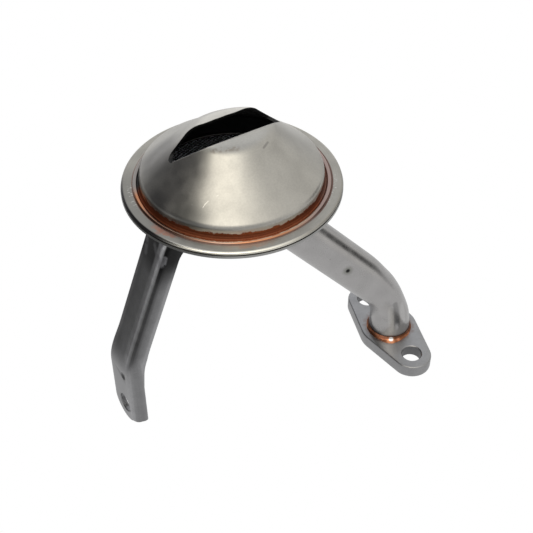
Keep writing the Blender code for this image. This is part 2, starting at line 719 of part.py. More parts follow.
def build_bracket(steel, root):
    frame = BracketFrame()
    bracket = make_object("support_bracket", lofted(bracket_sections(frame)), steel, root, sharp_angle=50.0)
    start = frame.foot + Vector((-BRACKET_SHEET, BRACKET_HOLE_INSET, BRACKET_END_RADIUS))
    along = Vector((1.0, 0.0, 0.0))
    cut(bracket, "bracket_bolt_hole", cylinder(BRACKET_HOLE_RADIUS, BRACKET_SHEET * 3, HOLE_SEGMENTS, start, along))
    ball = bmesh.new()
    outside = DIMPLE_BALL_RADIUS - DIMPLE_DEPTH
    place = frame.foot + Vector((-outside, DIMPLE_INSET, DIMPLE_HEIGHT))
    bmesh.ops.create_icosphere(
        ball, subdivisions=3, radius=DIMPLE_BALL_RADIUS, matrix=Matrix.Translation(place))
    cut(bracket, "bracket_dimple", ball)
    cut(bracket, "bracket_end", bracket_end_cutter(frame.foot))
    cut(bracket, "bracket_ridge_end", bracket_toe_cutter(frame.foot, -BRACKET_SHEET, BRACKET_END_BLEND))
    cut(bracket, "bracket_toe", bracket_toe_cutter(frame.foot, BRACKET_SHEET, BRACKET_SHEET * 2))


def build_bracket_braze(copper, root):
    """Fillet under the pan's ledge along the bracket's foot pad: down its far side and across its end."""
    frame = BracketFrame()
    tangent = BRACKET_TOP_BEND * math.tan((math.pi / 2 - BRACKET_LEAN_IN) / 2)
    far = BRACKET_WEB_WIDTH + SEAT_GAP
    end = BRACKET_PAD_LENGTH + SEAT_GAP
    stations = (
        (tangent, far, frame.web_across),
        (end, far, frame.web_across + frame.pad_way),
        (end, BRACKET_RIDGE_ROUND, frame.pad_way))
    outline = (
        (0.0, 0.0),
        (PAD_FILLET_REACH, 0.0),
        (PAD_FILLET_REACH * 0.3, PAD_FILLET_DROP * 0.3),
        (0.0, PAD_FILLET_DROP))
    sections = []
    for along, across, outward in stations:
        corner = frame.top + frame.pad_way * along + frame.web_across * across
        sections.append([corner + outward * reach - Vector((0.0, 0.0, drop)) for reach, drop in outline])
    make_object("bracket_braze", lofted(sections), copper, root)


def centre_on_origin(root):
    """Moves the root so that the origin lies under the middle of the whole piece."""
    bpy.context.view_layer.update()
    graph = bpy.context.evaluated_depsgraph_get()
    points = []
    for obj in root.children:
        if not obj.hide_render:
            shape = obj.evaluated_get(graph)
            points += [shape.matrix_world @ Vector(corner) for corner in shape.bound_box]
    root.location.x = -(min(point.x for point in points) + max(point.x for point in points)) / 2
    root.location.y = -(min(point.y for point in points) + max(point.y for point in points)) / 2
    root.location.z = -min(point.z for point in points)


def main():
    clear_scene()
    root = bpy.data.objects.new("pickup", None)
    bpy.context.scene.collection.objects.link(root)
    steel = make_material("satin_steel", (0.43, 0.42, 0.40), 0.38)
    screen_steel = make_material("screen_wire", (0.30, 0.30, 0.30), 0.45)
    copper = make_material("braze_copper", (0.62, 0.26, 0.13), 0.35)
    build_flange(steel, root)
    build_tube(steel, root)
    build_cover(steel, root)
    build_rim_ring(steel, root)
    build_strainer_body(steel, root)
    build_screen_ring(steel, root)
    build_screen(screen_steel, root)
    build_bracket(steel, root)
    build_cover_braze(copper, root)
    build_flange_braze(copper, root)
    build_tube_braze(copper, root)
    build_bracket_braze(copper, root)
    centre_on_origin(root)


main()
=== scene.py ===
"""Looks of an engine oil pickup: satin steel pressings, brazed with copper, on a pale floor in soft light.

Metres, +Z up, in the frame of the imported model. A finer mesh of nearly the same sizes stands for each CAD node.
"""
import math

import bmesh
import bpy
from mathutils import Matrix, Vector, noise


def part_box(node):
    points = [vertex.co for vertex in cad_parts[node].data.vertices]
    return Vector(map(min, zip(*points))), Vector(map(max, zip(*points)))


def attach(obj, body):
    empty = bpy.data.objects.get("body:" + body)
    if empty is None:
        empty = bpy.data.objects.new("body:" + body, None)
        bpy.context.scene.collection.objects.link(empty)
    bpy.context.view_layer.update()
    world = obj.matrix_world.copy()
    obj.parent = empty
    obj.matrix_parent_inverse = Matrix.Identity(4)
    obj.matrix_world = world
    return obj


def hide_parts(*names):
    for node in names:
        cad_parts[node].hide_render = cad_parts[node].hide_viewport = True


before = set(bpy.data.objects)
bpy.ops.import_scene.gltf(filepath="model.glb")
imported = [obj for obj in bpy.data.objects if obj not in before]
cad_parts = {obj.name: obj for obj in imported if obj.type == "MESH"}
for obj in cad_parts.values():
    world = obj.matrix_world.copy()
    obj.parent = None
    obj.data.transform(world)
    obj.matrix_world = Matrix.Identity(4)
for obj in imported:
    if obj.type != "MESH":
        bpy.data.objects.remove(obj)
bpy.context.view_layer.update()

MILLIMETRE = 0.001
UP = Vector((0.0, 0.0, 1.0))


def middle(node):
    low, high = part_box(node)
    return (low + high) / 2


# Places from the frame: the axis of the tube's foot, and the axis of the head at the top face of its rim
LIP_HEIGHT = 0.0008
FOOT = Vector((middle("mounting_flange").x, middle("mounting_flange").y, 0.0))
HEAD = Vector((middle("rim_ring").x, middle("rim_ring").y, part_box("rim_ring")[1].z - LIP_HEIGHT))

# Sizes of the CAD model, in metres. Heights on the head are from the top face of its rim
SEAT_GAP = 0.0003
FLANGE_THICKNESS = 0.006
FLANGE_WAIST_RADIUS = 0.0133
FLANGE_TIP_RADIUS = 0.0089
FLANGE_CHAMFER = 0.0005
BOLT_SPACING = 0.0395
BOLT_HOLE_RADIUS = 0.0044
BOLT_LINE_ANGLE = math.radians(82.9)
TUBE_SEAT_HEIGHT = 0.0015
TUBE_RADIUS = 0.0093
TUBE_WALL = 0.0015
TUBE_CORNER_HEIGHT = 0.0257
TUBE_BEND_RADIUS = 0.028
TUBE_SLOPE = math.radians(47.0)
TUBE_REACH_INSIDE = 0.0055
RIM_RADIUS = 0.0432
RIM_SHEET = 0.0011
LIP_OUTER_RADIUS = 0.0388
LIP_INNER_RADIUS = 0.0369
COVER_SHEET = 0.0012
SKIRT_RADIUS = 0.0359
SKIRT_DEPTH = 0.0026
SHOULDER_HEIGHT = 0.0056
SHOULDER_ROUND = 0.003
CROWN_HEIGHT = 0.025
CROWN_RADIUS = 0.0152
FLANK_FLARE = 0.0006
CROWN_FAR_SLOPE = 0.33
SLOT_TURN = math.radians(-1.7)
SLOT_HALF_WIDTH = 0.0071
SLOT_DEPTH = 0.0098
SLOT_NEAR_SLOPE = math.radians(43.0)
SLOT_ROUND = 0.0022
SCREEN_THICKNESS = 0.0008
SCREEN_RADIUS = 0.0358
RING_THICKNESS = 0.001
RING_INNER_RADIUS = 0.0338
PAN_SHEET = 0.0011
PAN_EDGE_RADIUS = 0.0434
PAN_WALL_CLEARANCE = 0.0004
PAN_LEDGE_INNER_RADIUS = 0.025
PAN_FLOOR_RADIUS = 0.0052
PAN_CORNER_ROUND = 0.0003
PAN_DRAW_ROUND = 0.0024
BRACKET_SHEET = 0.0023
BRACKET_WEB_WIDTH = 0.0167
BRACKET_FLANGE_LOWER = 0.0064
BRACKET_FLANGE_UPPER = 0.008
BRACKET_FLARE_HEIGHT = 0.022
BRACKET_EDGE_ROUND = 0.0004
BRACKET_BEARING = math.radians(196.8)
BRACKET_STAND_OFF = 0.0004
BRACKET_KNEE_HEIGHT = 0.0399
BRACKET_LEAN_IN = math.radians(19.3)
BRACKET_LEAN_SIDE = math.radians(3.1)
BRACKET_TWIST = math.radians(9.5)
BRACKET_KNEE_BEND = 0.06
BRACKET_TOP_BEND = 0.008
BRACKET_GUSSET_RADIUS = 0.0115
BRACKET_GUSSET_DEPTH = 0.0043
BRACKET_PAD_LENGTH = 0.0067
BRACKET_HOLE_RADIUS = 0.0044
BRACKET_HOLE_INSET = 0.0079
BRACKET_END_RADIUS = 0.00865
BRACKET_TOE_OUTER_HEIGHT = 0.0002
BRACKET_TOE_ROUND = 0.0015
DIMPLE_BALL_RADIUS = 0.004
DIMPLE_DEPTH = 0.0005
FILLET_SIZE = 0.0016
PAD_FILLET_REACH = 0.0008
PAD_FILLET_DROP = 0.0012
PAD_FILLET_CORNER = 0.001
FOOT_FILLET_REACH = 0.0007
FOOT_BLOB_REACH = 0.0013
FOOT_BLOB_ANGLE = math.radians(-124.0)
FOOT_BLOB_WIDTH = math.radians(22.0)

# Sizes that the render changes a little from the CAD's, and how far those forms run out
CROWN_ROUND = 0.0070
CROWN_FAR_SOFTNESS = 0.0012
RIM_EDGE_ROUND = 0.0009
TUBE_BEND_FLATTENING = 0.0024
TUBE_BEND_REACH = 0.026
TUBE_FOOT_REACH = 0.017
BRACKET_RIDGE_ROUND = 0.0038
BRACKET_FOOT_ROUND = 0.0023
BRACKET_INNER_ROUND = 0.0013
BRACKET_END_BLEND = 0.0018
DIMPLE_HEIGHT = 0.0275
DIMPLE_INSET = 0.0062
GROOVE_FILLET_HEIGHT = 0.0017
GROOVE_FILLET_FOOT = 0.0003
GROOVE_FILLET_ROUND = 0.0006

# Detail that only the render has
WIRE_RADIUS = 0.00019
WIRE_PITCH = 0.0013
WIRE_TURN = math.radians(20.0)
WIRE_SIDES = 6
BURR_RADIUS = 0.00012
BURR_REACH = 0.0255
HOLE_CHAMFER = 0.00035
BRAZE_RIPPLE = 0.00007
BRAZE_RIPPLE_SCALE = 400.0
GROOVE_RIPPLE_SCALE = 300.0
ROUND_STEPS = 8
BURR_HALVINGS = 24
PAN_HALVINGS = 30
FLANK_PARTS = 12
BURR_STEPS = 120
HEAD_SEGMENTS = 256
TUBE_SEGMENTS = 128
TUBE_STEPS = 100
TIP_STEPS = 40
WAIST_STEPS = 16
HOLE_SEGMENTS = 72
BRACKET_BEND_STEPS = 18
BRACKET_END_STEPS = 48

# Derived sizes and places
BORE_RADIUS = TUBE_RADIUS - TUBE_WALL
TUBE_INWARD = (HEAD - FOOT).xy.normalized().to_3d()
TUBE_DIRECTION = TUBE_INWARD * math.cos(TUBE_SLOPE) + UP * math.sin(TUBE_SLOPE)
TUBE_CORNER = FOOT + UP * TUBE_CORNER_HEIGHT
HEAD_DISTANCE = (HEAD - FOOT).xy.length
HEAD_PLACE = Matrix.Translation(HEAD)
COVER_PLACE = HEAD_PLACE @ Matrix.Rotation(SLOT_TURN, 4, "Z")
PAN_EDGE_TOP = -RIM_SHEET - SEAT_GAP
PAN_INNER_RADIUS = SKIRT_RADIUS + PAN_WALL_CLEARANCE
PAN_WALL_ANGLE = math.pi / 2 - TUBE_SLOPE
RING_TOP = -SKIRT_DEPTH - SEAT_GAP
SCREEN_TOP = RING_TOP - RING_THICKNESS - SEAT_GAP
LEDGE_TOP = SCREEN_TOP - SCREEN_THICKNESS - SEAT_GAP
PAN_FLOOR_TOP = LEDGE_TOP - (PAN_LEDGE_INNER_RADIUS - PAN_FLOOR_RADIUS) * math.tan(PAN_WALL_ANGLE)
BRACKET_PAD_TOP = HEAD.z + LEDGE_TOP - PAN_SHEET - SEAT_GAP
BRACKET_REACH = PAN_INNER_RADIUS + PAN_SHEET + BRACKET_STAND_OFF


# Helpers

def clamped(share):
    return min(max(share, 0.0), 1.0)


def way_at(points, index):
    """Direction of a row of points at one of them."""
    return (points[min(index + 1, len(points) - 1)] - points[max(index - 1, 0)]).normalized()


def make_object(name, builder, sharp_angle=35.0):
    """Closed bmesh to a smooth-shaded object."""
    bmesh.ops.remove_doubles(builder, verts=builder.verts, dist=1e-7)
    bmesh.ops.recalc_face_normals(builder, faces=builder.faces)
    mesh = bpy.data.meshes.new(name)
    builder.to_mesh(mesh)
    builder.free()
    mesh.shade_smooth()
    mesh.set_sharp_from_angle(angle=math.radians(sharp_angle))
    obj = bpy.data.objects.new(name, mesh)
    bpy.context.scene.collection.objects.link(obj)
    return obj


def cut(obj, builders, sharp_angle=35.0, edge=None):
    """Cuts closed shapes out of an object for good. The cut faces may take a material of their own."""
    for number, builder in enumerate(builders):
        cutter = make_object(f"{obj.name}_cutter_{number}", builder)
        modifier = obj.modifiers.new("cut", "BOOLEAN")
        if edge:
            cutter.data.materials.append(edge)
            modifier.material_mode = "TRANSFER"
        modifier.solver = "EXACT"
        modifier.object = cutter
        bpy.context.view_layer.update()
        graph = bpy.context.evaluated_depsgraph_get()
        mesh = bpy.data.meshes.new_from_object(obj.evaluated_get(graph))
        obj.modifiers.clear()
        obj.data = mesh
        bpy.data.objects.remove(cutter, do_unlink=True)
    obj.data.shade_smooth()
    obj.data.set_sharp_from_angle(angle=math.radians(sharp_angle))


def dress(obj, material, slot, *nodes):
    """Gives a piece its material, and lets it stand for CAD nodes. The slot is not used."""
    if not obj.data.materials:
        obj.data.materials.append(material)
    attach(obj, "root")
    if nodes:
        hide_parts(*nodes)


def rounded(corners, steps=ROUND_STEPS):
    """Chain of points from (point, radius) corners, each corner with a radius turned into an arc."""
    chain = []
    last = len(corners) - 1
    for index, (point, radius) in enumerate(corners):
        here = Vector(point)
        if radius == 0.0 or index in (0, last):
            chain.append(here)
            continue
        back = (Vector(corners[index - 1][0]) - here).normalized()
        ahead = (Vector(corners[index + 1][0]) - here).normalized()
        half_turn = (math.pi - back.angle(ahead)) / 2
        tangent = radius * math.tan(half_turn)
        centre = here + (back + ahead).normalized() * (radius / math.cos(half_turn))
        start = (here + back * tangent - centre).normalized()
        end = (here + ahead * tangent - centre).normalized()
        for step in range(steps + 1):
            chain.append(centre + start.slerp(end, step / steps) * radius)
    return chain


def thickened(chain, thickness):
    """Closed profile of a sheet: the chain, then the chain moved to its left by the thickness."""
    far_side = []
    for index, point in enumerate(chain):
        before = chain[index - 1] if index else point * 2 - chain[1]
        after = chain[index + 1] if index + 1 < len(chain) else point * 2 - before
        into = (point - before).normalized()
        out = (after - point).normalized()
        along = (into + out).normalized()
        shifted = point + Vector((-along.y, along.x)) * (thickness / along.dot(out))
        if point.x < SEAT_GAP:
            shifted.x = 0.0
        far_side.append(shifted)
    return chain + far_side[::-1]


def revolved(profile, segments=HEAD_SEGMENTS, outer_bands=None):
    """Solid of revolution about Z from a closed loop of (radius, height) points.

    With a number of outer bands given, the faces beyond them take the object's second material.
    """
    builder = bmesh.new()
    rings = []
    for radius, height in profile:
        if radius == 0.0:
            rings.append([builder.verts.new((0.0, 0.0, height))])
            continue
        ring = []
        for step in range(segments):
            turn = 2 * math.pi * step / segments
            ring.append(builder.verts.new((radius * math.cos(turn), radius * math.sin(turn), height)))
        rings.append(ring)
    for band, (lower, upper) in enumerate(zip(rings, rings[1:] + rings[:1])):
        if len(lower) == 1 and len(upper) == 1:
            continue
        for step in range(segments):
            after = (step + 1) % segments
            corners = (
                lower[step % len(lower)],
                lower[after % len(lower)],
                upper[after % len(upper)],
                upper[step % len(upper)])
            face = builder.faces.new(list(dict.fromkeys(corners)))
            face.material_index = 1 if outer_bands is not None and band >= outer_bands else 0
    return builder


def moved(builder, place):
    bmesh.ops.transform(builder, matrix=place, verts=builder.verts)
    return builder


def bridge(builder, loops, closed):
    """Bands of quads between neighbouring point loops, and on to the first loop again if closed."""
    rings = [[builder.verts.new(point) for point in loop] for loop in loops]
    pairs = list(zip(rings, rings[1:]))
    if closed:
        pairs.append((rings[-1], rings[0]))
    for lower, upper in pairs:
        count = len(lower)
        for step in range(count):
            after = (step + 1) % count
            builder.faces.new((lower[step], lower[after], upper[after], upper[step]))
    return rings


def lofted(sections, builder=None):
    """Closed solid through a row of closed sections with equal point counts, capped at both ends."""
    builder = builder or bmesh.new()
    rings = bridge(builder, sections, closed=False)
    builder.faces.new(rings[0][::-1])
    builder.faces.new(rings[-1])
    return builder


def prism(outline, start, end, place):
    """Solid with an outline, from one distance to another. Place turns a distance and a point to a corner."""
    return lofted([[place(along, point) for point in outline] for along in (start, end)])


def circle(centre, across, side, radius, segments=TUBE_SEGMENTS):
    points = []
    for step in range(segments):
        turn = 2 * math.pi * step / segments
        points.append(centre + (across * math.cos(turn) + side * math.sin(turn)) * radius)
    return points


def arc(centre_x, radius, first, last, steps):
    points = []
    for step in range(steps + 1):
        turn = first + (last - first) * step / steps
        points.append(Vector((centre_x + radius * math.cos(turn), radius * math.sin(turn))))
    return points


def turned_cutter(profile, start, direction, segments=HOLE_SEGMENTS):
    """A turned cutter along a direction, from (radius, distance) points between its two ends."""
    side = direction.orthogonal().normalized()
    across = direction.cross(side)
    return lofted([circle(start + direction * along, across, side, radius, segments) for radius, along in profile])


def bolt_hole(radius, depth, start, direction):
    """Cutter of a hole through a plate, with a chamfer at both faces."""
    wide = radius + HOLE_CHAMFER * 2
    profile = (
        (wide, -HOLE_CHAMFER),
        (radius, HOLE_CHAMFER),
        (radius, depth - HOLE_CHAMFER),
        (wide, depth + HOLE_CHAMFER))
    return turned_cutter(profile, start, direction)


def ripple(point, scale=BRAZE_RIPPLE_SCALE):
    """Slight unevenness of a copper surface at a point."""
    return noise.noise(point * scale) * BRAZE_RIPPLE


def wire(builder, points, radius):
    """Adds a thin round wire through a row of points."""
    loops = []
    for index, point in enumerate(points):
        way = way_at(points, index)
        side = way.cross(UP).normalized()
        loops.append(circle(point, side, side.cross(way), radius, WIRE_SIDES))
    lofted(loops, builder)


# Strainer head

def cover_chain():
    """Outer face of the cover from the foot of its skirt to the axis, with a slightly flared flank."""
    low = Vector((SKIRT_RADIUS, SHOULDER_HEIGHT))
    high = Vector((CROWN_RADIUS, CROWN_HEIGHT))
    run = high - low
    inward = Vector((-run.y, run.x)).normalized()
    corners = [((SKIRT_RADIUS, -SKIRT_DEPTH), 0.0), (low, SHOULDER_ROUND)]
    for part in range(2, FLANK_PARTS - 1):
        share = part / FLANK_PARTS
        sag = FLANK_FLARE * 4 * share * (1 - share)
        corners.append((low + run * share + inward * sag, 0.0))
    corners += [(high, CROWN_ROUND), ((CROWN_RADIUS / 2, CROWN_HEIGHT), 0.0), ((0.0, CROWN_HEIGHT), 0.0)]
    return rounded(corners)


def crown_droop(point):
    """How far the cover is pressed down beyond the slot's far side. It fades out at the shoulder."""
    radius = point.xy.length
    beyond = point.y * (CROWN_RADIUS / max(radius, CROWN_RADIUS)) - SLOT_HALF_WIDTH
    eased = (beyond + math.hypot(beyond, CROWN_FAR_SOFTNESS)) / 2
    fade = (point.z - SHOULDER_HEIGHT) / (CROWN_HEIGHT - SHOULDER_HEIGHT)
    return CROWN_FAR_SLOPE * eased * clamped(fade)


def slot_outline():
    """Section of the slot across X: (distance from the head's axis, height above the rim)."""
    bottom = CROWN_HEIGHT - SLOT_DEPTH
    above = CROWN_HEIGHT + SLOT_DEPTH
    run = 1 / math.tan(SLOT_NEAR_SLOPE)
    corners = (
        ((-SLOT_HALF_WIDTH - SLOT_DEPTH * run, above), 0.0),
        ((-SLOT_HALF_WIDTH + SLOT_DEPTH * run, bottom), SLOT_ROUND),
        ((SLOT_HALF_WIDTH, bottom), SLOT_ROUND),
        ((SLOT_HALF_WIDTH, above), 0.0))
    return rounded(corners)


def cover_height(x, y, chain):
    """Height of the cover's outer face at a place, from the top face of the rim."""
    radius = math.hypot(x, y)
    for low, high in zip(chain, chain[1:]):
        if high.x <= radius <= low.x and low.x > high.x:
            height = low.y + (high.y - low.y) * (low.x - radius) / (low.x - high.x)
            return height - crown_droop(Vector((x, y, height)))
    return CROWN_HEIGHT


def slot_lip():
    """Edge of the slot's sloping near side on the cover's outer face, from end to end."""
    chain = cover_chain()
    foot = CROWN_HEIGHT - SLOT_DEPTH
    points = []
    for step in range(BURR_STEPS + 1):
        x = BURR_REACH * (2 * step / BURR_STEPS - 1)
        near = -SLOT_HALF_WIDTH - SLOT_ROUND
        far = near + SLOT_DEPTH / math.tan(SLOT_NEAR_SLOPE) + SLOT_ROUND
        for _ in range(BURR_HALVINGS):
            y = (near + far) / 2
            slope_height = CROWN_HEIGHT - (y + SLOT_HALF_WIDTH) * math.tan(SLOT_NEAR_SLOPE)
            if slope_height > cover_height(x, y, chain):
                near = y
            else:
                far = y
        height = cover_height(x, y, chain)
        if height > foot + SLOT_ROUND / 4:
            points.append(COVER_PLACE @ Vector((x, y, height)))
    return points


def build_cover(steel, inner_painted_shade, edge_painted_shade, burr_steel):
    chain = cover_chain()
    builder = revolved(thickened(chain, COVER_SHEET), HEAD_SEGMENTS, len(chain) - 1)
    for vertex in builder.verts:
        vertex.co.z -= crown_droop(vertex.co)
    cover = make_object("cover", moved(builder, COVER_PLACE))
    for material in (steel, inner_painted_shade):
        cover.data.materials.append(material)
    slot = prism(slot_outline(), -SKIRT_RADIUS, SKIRT_RADIUS, lambda along, point: (along, point.x, point.y))
    cut(cover, [moved(slot, COVER_PLACE)], edge=edge_painted_shade)
    dress(cover, steel, "cover_steel", "inlet_cover")

    builder = bmesh.new()
    wire(builder, slot_lip(), BURR_RADIUS)
    dress(make_object("slot_burr", builder, sharp_angle=80.0), burr_steel, "cover_steel")


def build_rim(steel):
    crest = (LIP_OUTER_RADIUS + LIP_INNER_RADIUS) / 2
    lip_round = LIP_HEIGHT * 0.8
    corners = (
        ((crest, -RIM_SHEET), 0.0),
        ((RIM_RADIUS, -RIM_SHEET), RIM_EDGE_ROUND / 3),
        ((RIM_RADIUS, 0.0), RIM_EDGE_ROUND),
        ((LIP_OUTER_RADIUS, 0.0), LIP_HEIGHT / 4),
        ((LIP_OUTER_RADIUS - LIP_HEIGHT / 4, LIP_HEIGHT), lip_round),
        ((LIP_INNER_RADIUS, LIP_HEIGHT), lip_round),
        ((LIP_INNER_RADIUS, -RIM_SHEET), 0.0))
    rim = make_object("rim", moved(revolved(rounded(corners)), HEAD_PLACE), sharp_angle=60.0)
    dress(rim, steel, "rim_steel", "rim_ring")


def pan_underside(radius):
    """Height of the outer face of the pan's sloping wall at a radius, from the top face of the rim."""
    drop = PAN_SHEET / math.cos(PAN_WALL_ANGLE)
    return LEDGE_TOP - drop - (PAN_LEDGE_INNER_RADIUS - radius) * math.tan(PAN_WALL_ANGLE)


def wall_entry():
    """Where the tube's axis meets the outer face of the pan's sloping wall."""
    wall_slope = math.tan(PAN_WALL_ANGLE)
    tube_slope = math.tan(TUBE_SLOPE)
    axis_height = TUBE_CORNER_HEIGHT - HEAD.z + HEAD_DISTANCE * tube_slope
    reach = (axis_height - pan_underside(0.0)) / (tube_slope + wall_slope)
    return TUBE_CORNER + TUBE_DIRECTION * ((HEAD_DISTANCE - reach) / math.cos(TUBE_SLOPE))


def build_body(steel):
    corners = (
        ((PAN_EDGE_RADIUS, PAN_EDGE_TOP), 0.0),
        ((PAN_INNER_RADIUS, PAN_EDGE_TOP), PAN_CORNER_ROUND + PAN_SHEET),
        ((PAN_INNER_RADIUS, LEDGE_TOP), PAN_CORNER_ROUND),
        ((PAN_LEDGE_INNER_RADIUS, LEDGE_TOP), PAN_DRAW_ROUND),
        ((PAN_FLOOR_RADIUS, PAN_FLOOR_TOP), PAN_DRAW_ROUND),
        ((0.0, PAN_FLOOR_TOP), 0.0))
    body = make_object("body", moved(revolved(thickened(rounded(corners), PAN_SHEET)), HEAD_PLACE))
    depth = TUBE_REACH_INSIDE * 2
    radius = TUBE_RADIUS + SEAT_GAP
    hole = turned_cutter(((radius, -depth), (radius, depth)), wall_entry(), TUBE_DIRECTION)
    cut(body, [hole])
    dress(body, steel, "body_steel", "strainer_body")


def build_clamp_ring(steel):
    corners = (
        ((SCREEN_RADIUS, RING_TOP - RING_THICKNESS / 2), 0.0),
        ((SCREEN_RADIUS, RING_TOP), RING_THICKNESS / 4),
        ((RING_INNER_RADIUS, RING_TOP), RING_THICKNESS / 3),
        ((RING_INNER_RADIUS, RING_TOP - RING_THICKNESS), RING_THICKNESS / 3),
        ((SCREEN_RADIUS, RING_TOP - RING_THICKNESS), 0.0))
    ring = make_object("clamp_ring", moved(revolved(rounded(corners)), HEAD_PLACE))
    dress(ring, steel, "body_steel", "screen_ring")


def build_screen(steel):
    """Plain weave of round wires, each going over and under those that cross it."""
    builder = bmesh.new()
    level = SCREEN_TOP - SCREEN_THICKNESS / 2
    turn = Matrix.Rotation(WIRE_TURN, 3, "Z")
    reach = int(SCREEN_RADIUS / WIRE_PITCH)
    for direction in range(2):
        for number in range(-reach, reach + 1):
            offset = number * WIRE_PITCH
            half = math.sqrt(max(SCREEN_RADIUS ** 2 - offset ** 2, 0.0))
            count = int(half / (WIRE_PITCH / 2))
            points = []
            for step in range(-count, count + 1):
                along = step * WIRE_PITCH / 2
                phase = math.pi * (along / WIRE_PITCH + number + direction)
                height = level + WIRE_RADIUS * math.cos(phase)
                place = Vector((along, offset, height)) if direction else Vector((offset, along, height))
                points.append(HEAD + turn @ place)
            if len(points) > 2:
                wire(builder, points, WIRE_RADIUS)
    dress(make_object("screen", builder, sharp_angle=80.0), steel, "screen_wire", "screen_mesh")


def build_cover_brazing(copper):
    """Copper that has run round the groove between the cover's skirt and the rolled lip."""
    inner = SKIRT_RADIUS + SEAT_GAP / 3
    outer = LIP_INNER_RADIUS - SEAT_GAP / 3
    corners = (
        ((outer, -RIM_SHEET), 0.0),
        ((outer, GROOVE_FILLET_FOOT), 0.0),
        ((inner + GROOVE_FILLET_FOOT, GROOVE_FILLET_FOOT), GROOVE_FILLET_ROUND),
        ((inner, GROOVE_FILLET_HEIGHT), 0.0),
        ((inner, -RIM_SHEET), 0.0))
    builder = revolved(rounded(corners))
    for vertex in builder.verts:
        if vertex.co.z > -RIM_SHEET / 2:
            vertex.co.z += ripple(vertex.co, GROOVE_RIPPLE_SCALE) + ripple(vertex.co, GROOVE_RIPPLE_SCALE * 3) / 2
    dress(make_object("cover_brazing", moved(builder, HEAD_PLACE)), copper, "braze_copper", "cover_braze")


# Tube and mounting flange

def tube_path():
    """Point, direction and flattening down the middle of the tube, from its seat in the flange to the pan."""
    turn = math.pi / 2 - TUBE_SLOPE
    bend_start = TUBE_CORNER - UP * (TUBE_BEND_RADIUS * math.tan(turn / 2))
    centre = bend_start + TUBE_INWARD * TUBE_BEND_RADIUS
    foot = FOOT + UP * (TUBE_SEAT_HEIGHT + SEAT_GAP)
    end = wall_entry() + TUBE_DIRECTION * TUBE_REACH_INSIDE
    foot_length = (bend_start - foot).length
    bend_length = TUBE_BEND_RADIUS * turn
    bend_end = TUBE_CORNER + TUBE_DIRECTION * (bend_start - TUBE_CORNER).length
    length = foot_length + bend_length + (end - bend_end).length
    path = []
    for step in range(TUBE_STEPS + 1):
        gone = length * step / TUBE_STEPS
        angle = clamped((gone - foot_length) / bend_length) * turn
        spoke = UP * math.sin(angle) - TUBE_INWARD * math.cos(angle)
        way = UP * math.cos(angle) + TUBE_INWARD * math.sin(angle)
        beyond = min(gone - foot_length, 0.0) + max(gone - foot_length - bend_length, 0.0)
        off_middle = gone - foot_length - bend_length / 2
        reach = TUBE_BEND_REACH if off_middle > 0 else TUBE_FOOT_REACH
        share = min(abs(off_middle) / reach, 1.0)
        flat = TUBE_BEND_FLATTENING * (1 + math.cos(math.pi * share)) / 2
        path.append((centre + spoke * TUBE_BEND_RADIUS + way * beyond, way, flat))
    return path


def tube_loop(point, way, flat, radius):
    """Section of the tube. Its outer side, away from the bend's centre, is pulled in by the flattening."""
    side = UP.cross(TUBE_INWARD)
    across = side.cross(way)
    loop = []
    for corner in circle(point, across, side, radius):
        outward = min((corner - point).dot(across) / radius, 0.0)
        loop.append(corner + across * (flat * outward * outward))
    return loop


def build_tube(steel):
    outer = [tube_loop(*station, TUBE_RADIUS) for station in tube_path()]
    inner = [tube_loop(*station, BORE_RADIUS) for station in tube_path()]
    builder = bmesh.new()
    bridge(builder, outer + inner[::-1], closed=True)
    dress(make_object("tube", builder), steel, "tube_steel", "pickup_tube")


def flange_outline(inset):
    """Two tip arcs and two waist arcs joined by their tangents, turned to the bolt line."""
    reach = BOLT_SPACING / 2
    waist = FLANGE_WAIST_RADIUS - inset
    tip = FLANGE_TIP_RADIUS - inset
    tangent = math.acos((waist - tip) / reach)
    points = []
    for half_turn in (0.0, math.pi):
        points += arc(math.cos(half_turn) * reach, tip, half_turn - tangent, half_turn + tangent, TIP_STEPS)
        points += arc(0.0, waist, half_turn + tangent, half_turn + math.pi - tangent, WAIST_STEPS)
    turn = Matrix.Rotation(BOLT_LINE_ANGLE, 2)
    return [turn @ point for point in points]


def build_flange(steel):
    chamfer = FLANGE_CHAMFER
    top = FLANGE_THICKNESS
    levels = (
        (0.0, chamfer / 2),
        (chamfer / 4, chamfer / 8),
        (chamfer, 0.0),
        (top - chamfer * 1.4, 0.0),
        (top - chamfer * 0.6, chamfer * 0.25),
        (top - chamfer * 0.15, chamfer * 0.8),
        (top, chamfer * 1.4))
    sections = []
    for height, inset in levels:
        sections.append([FOOT + Vector((point.x, point.y, height)) for point in flange_outline(inset)])
    flange = make_object("flange", lofted(sections))

    bolt_line = Vector((math.cos(BOLT_LINE_ANGLE), math.sin(BOLT_LINE_ANGLE), 0.0))
    cutters = []
    for offset in (-BOLT_SPACING / 2, BOLT_SPACING / 2):
        cutters.append(bolt_hole(BOLT_HOLE_RADIUS, top, FOOT + bolt_line * offset, UP))
    seat = (
        (BORE_RADIUS, -top),
        (BORE_RADIUS, TUBE_SEAT_HEIGHT),
        (TUBE_RADIUS + SEAT_GAP / 3, TUBE_SEAT_HEIGHT),
        (TUBE_RADIUS + SEAT_GAP / 3, top * 2))
    cutters.append(turned_cutter(seat, FOOT, UP, TUBE_SEGMENTS))
    cut(flange, cutters)
    dress(flange, steel, "flange_steel", "mounting_flange")


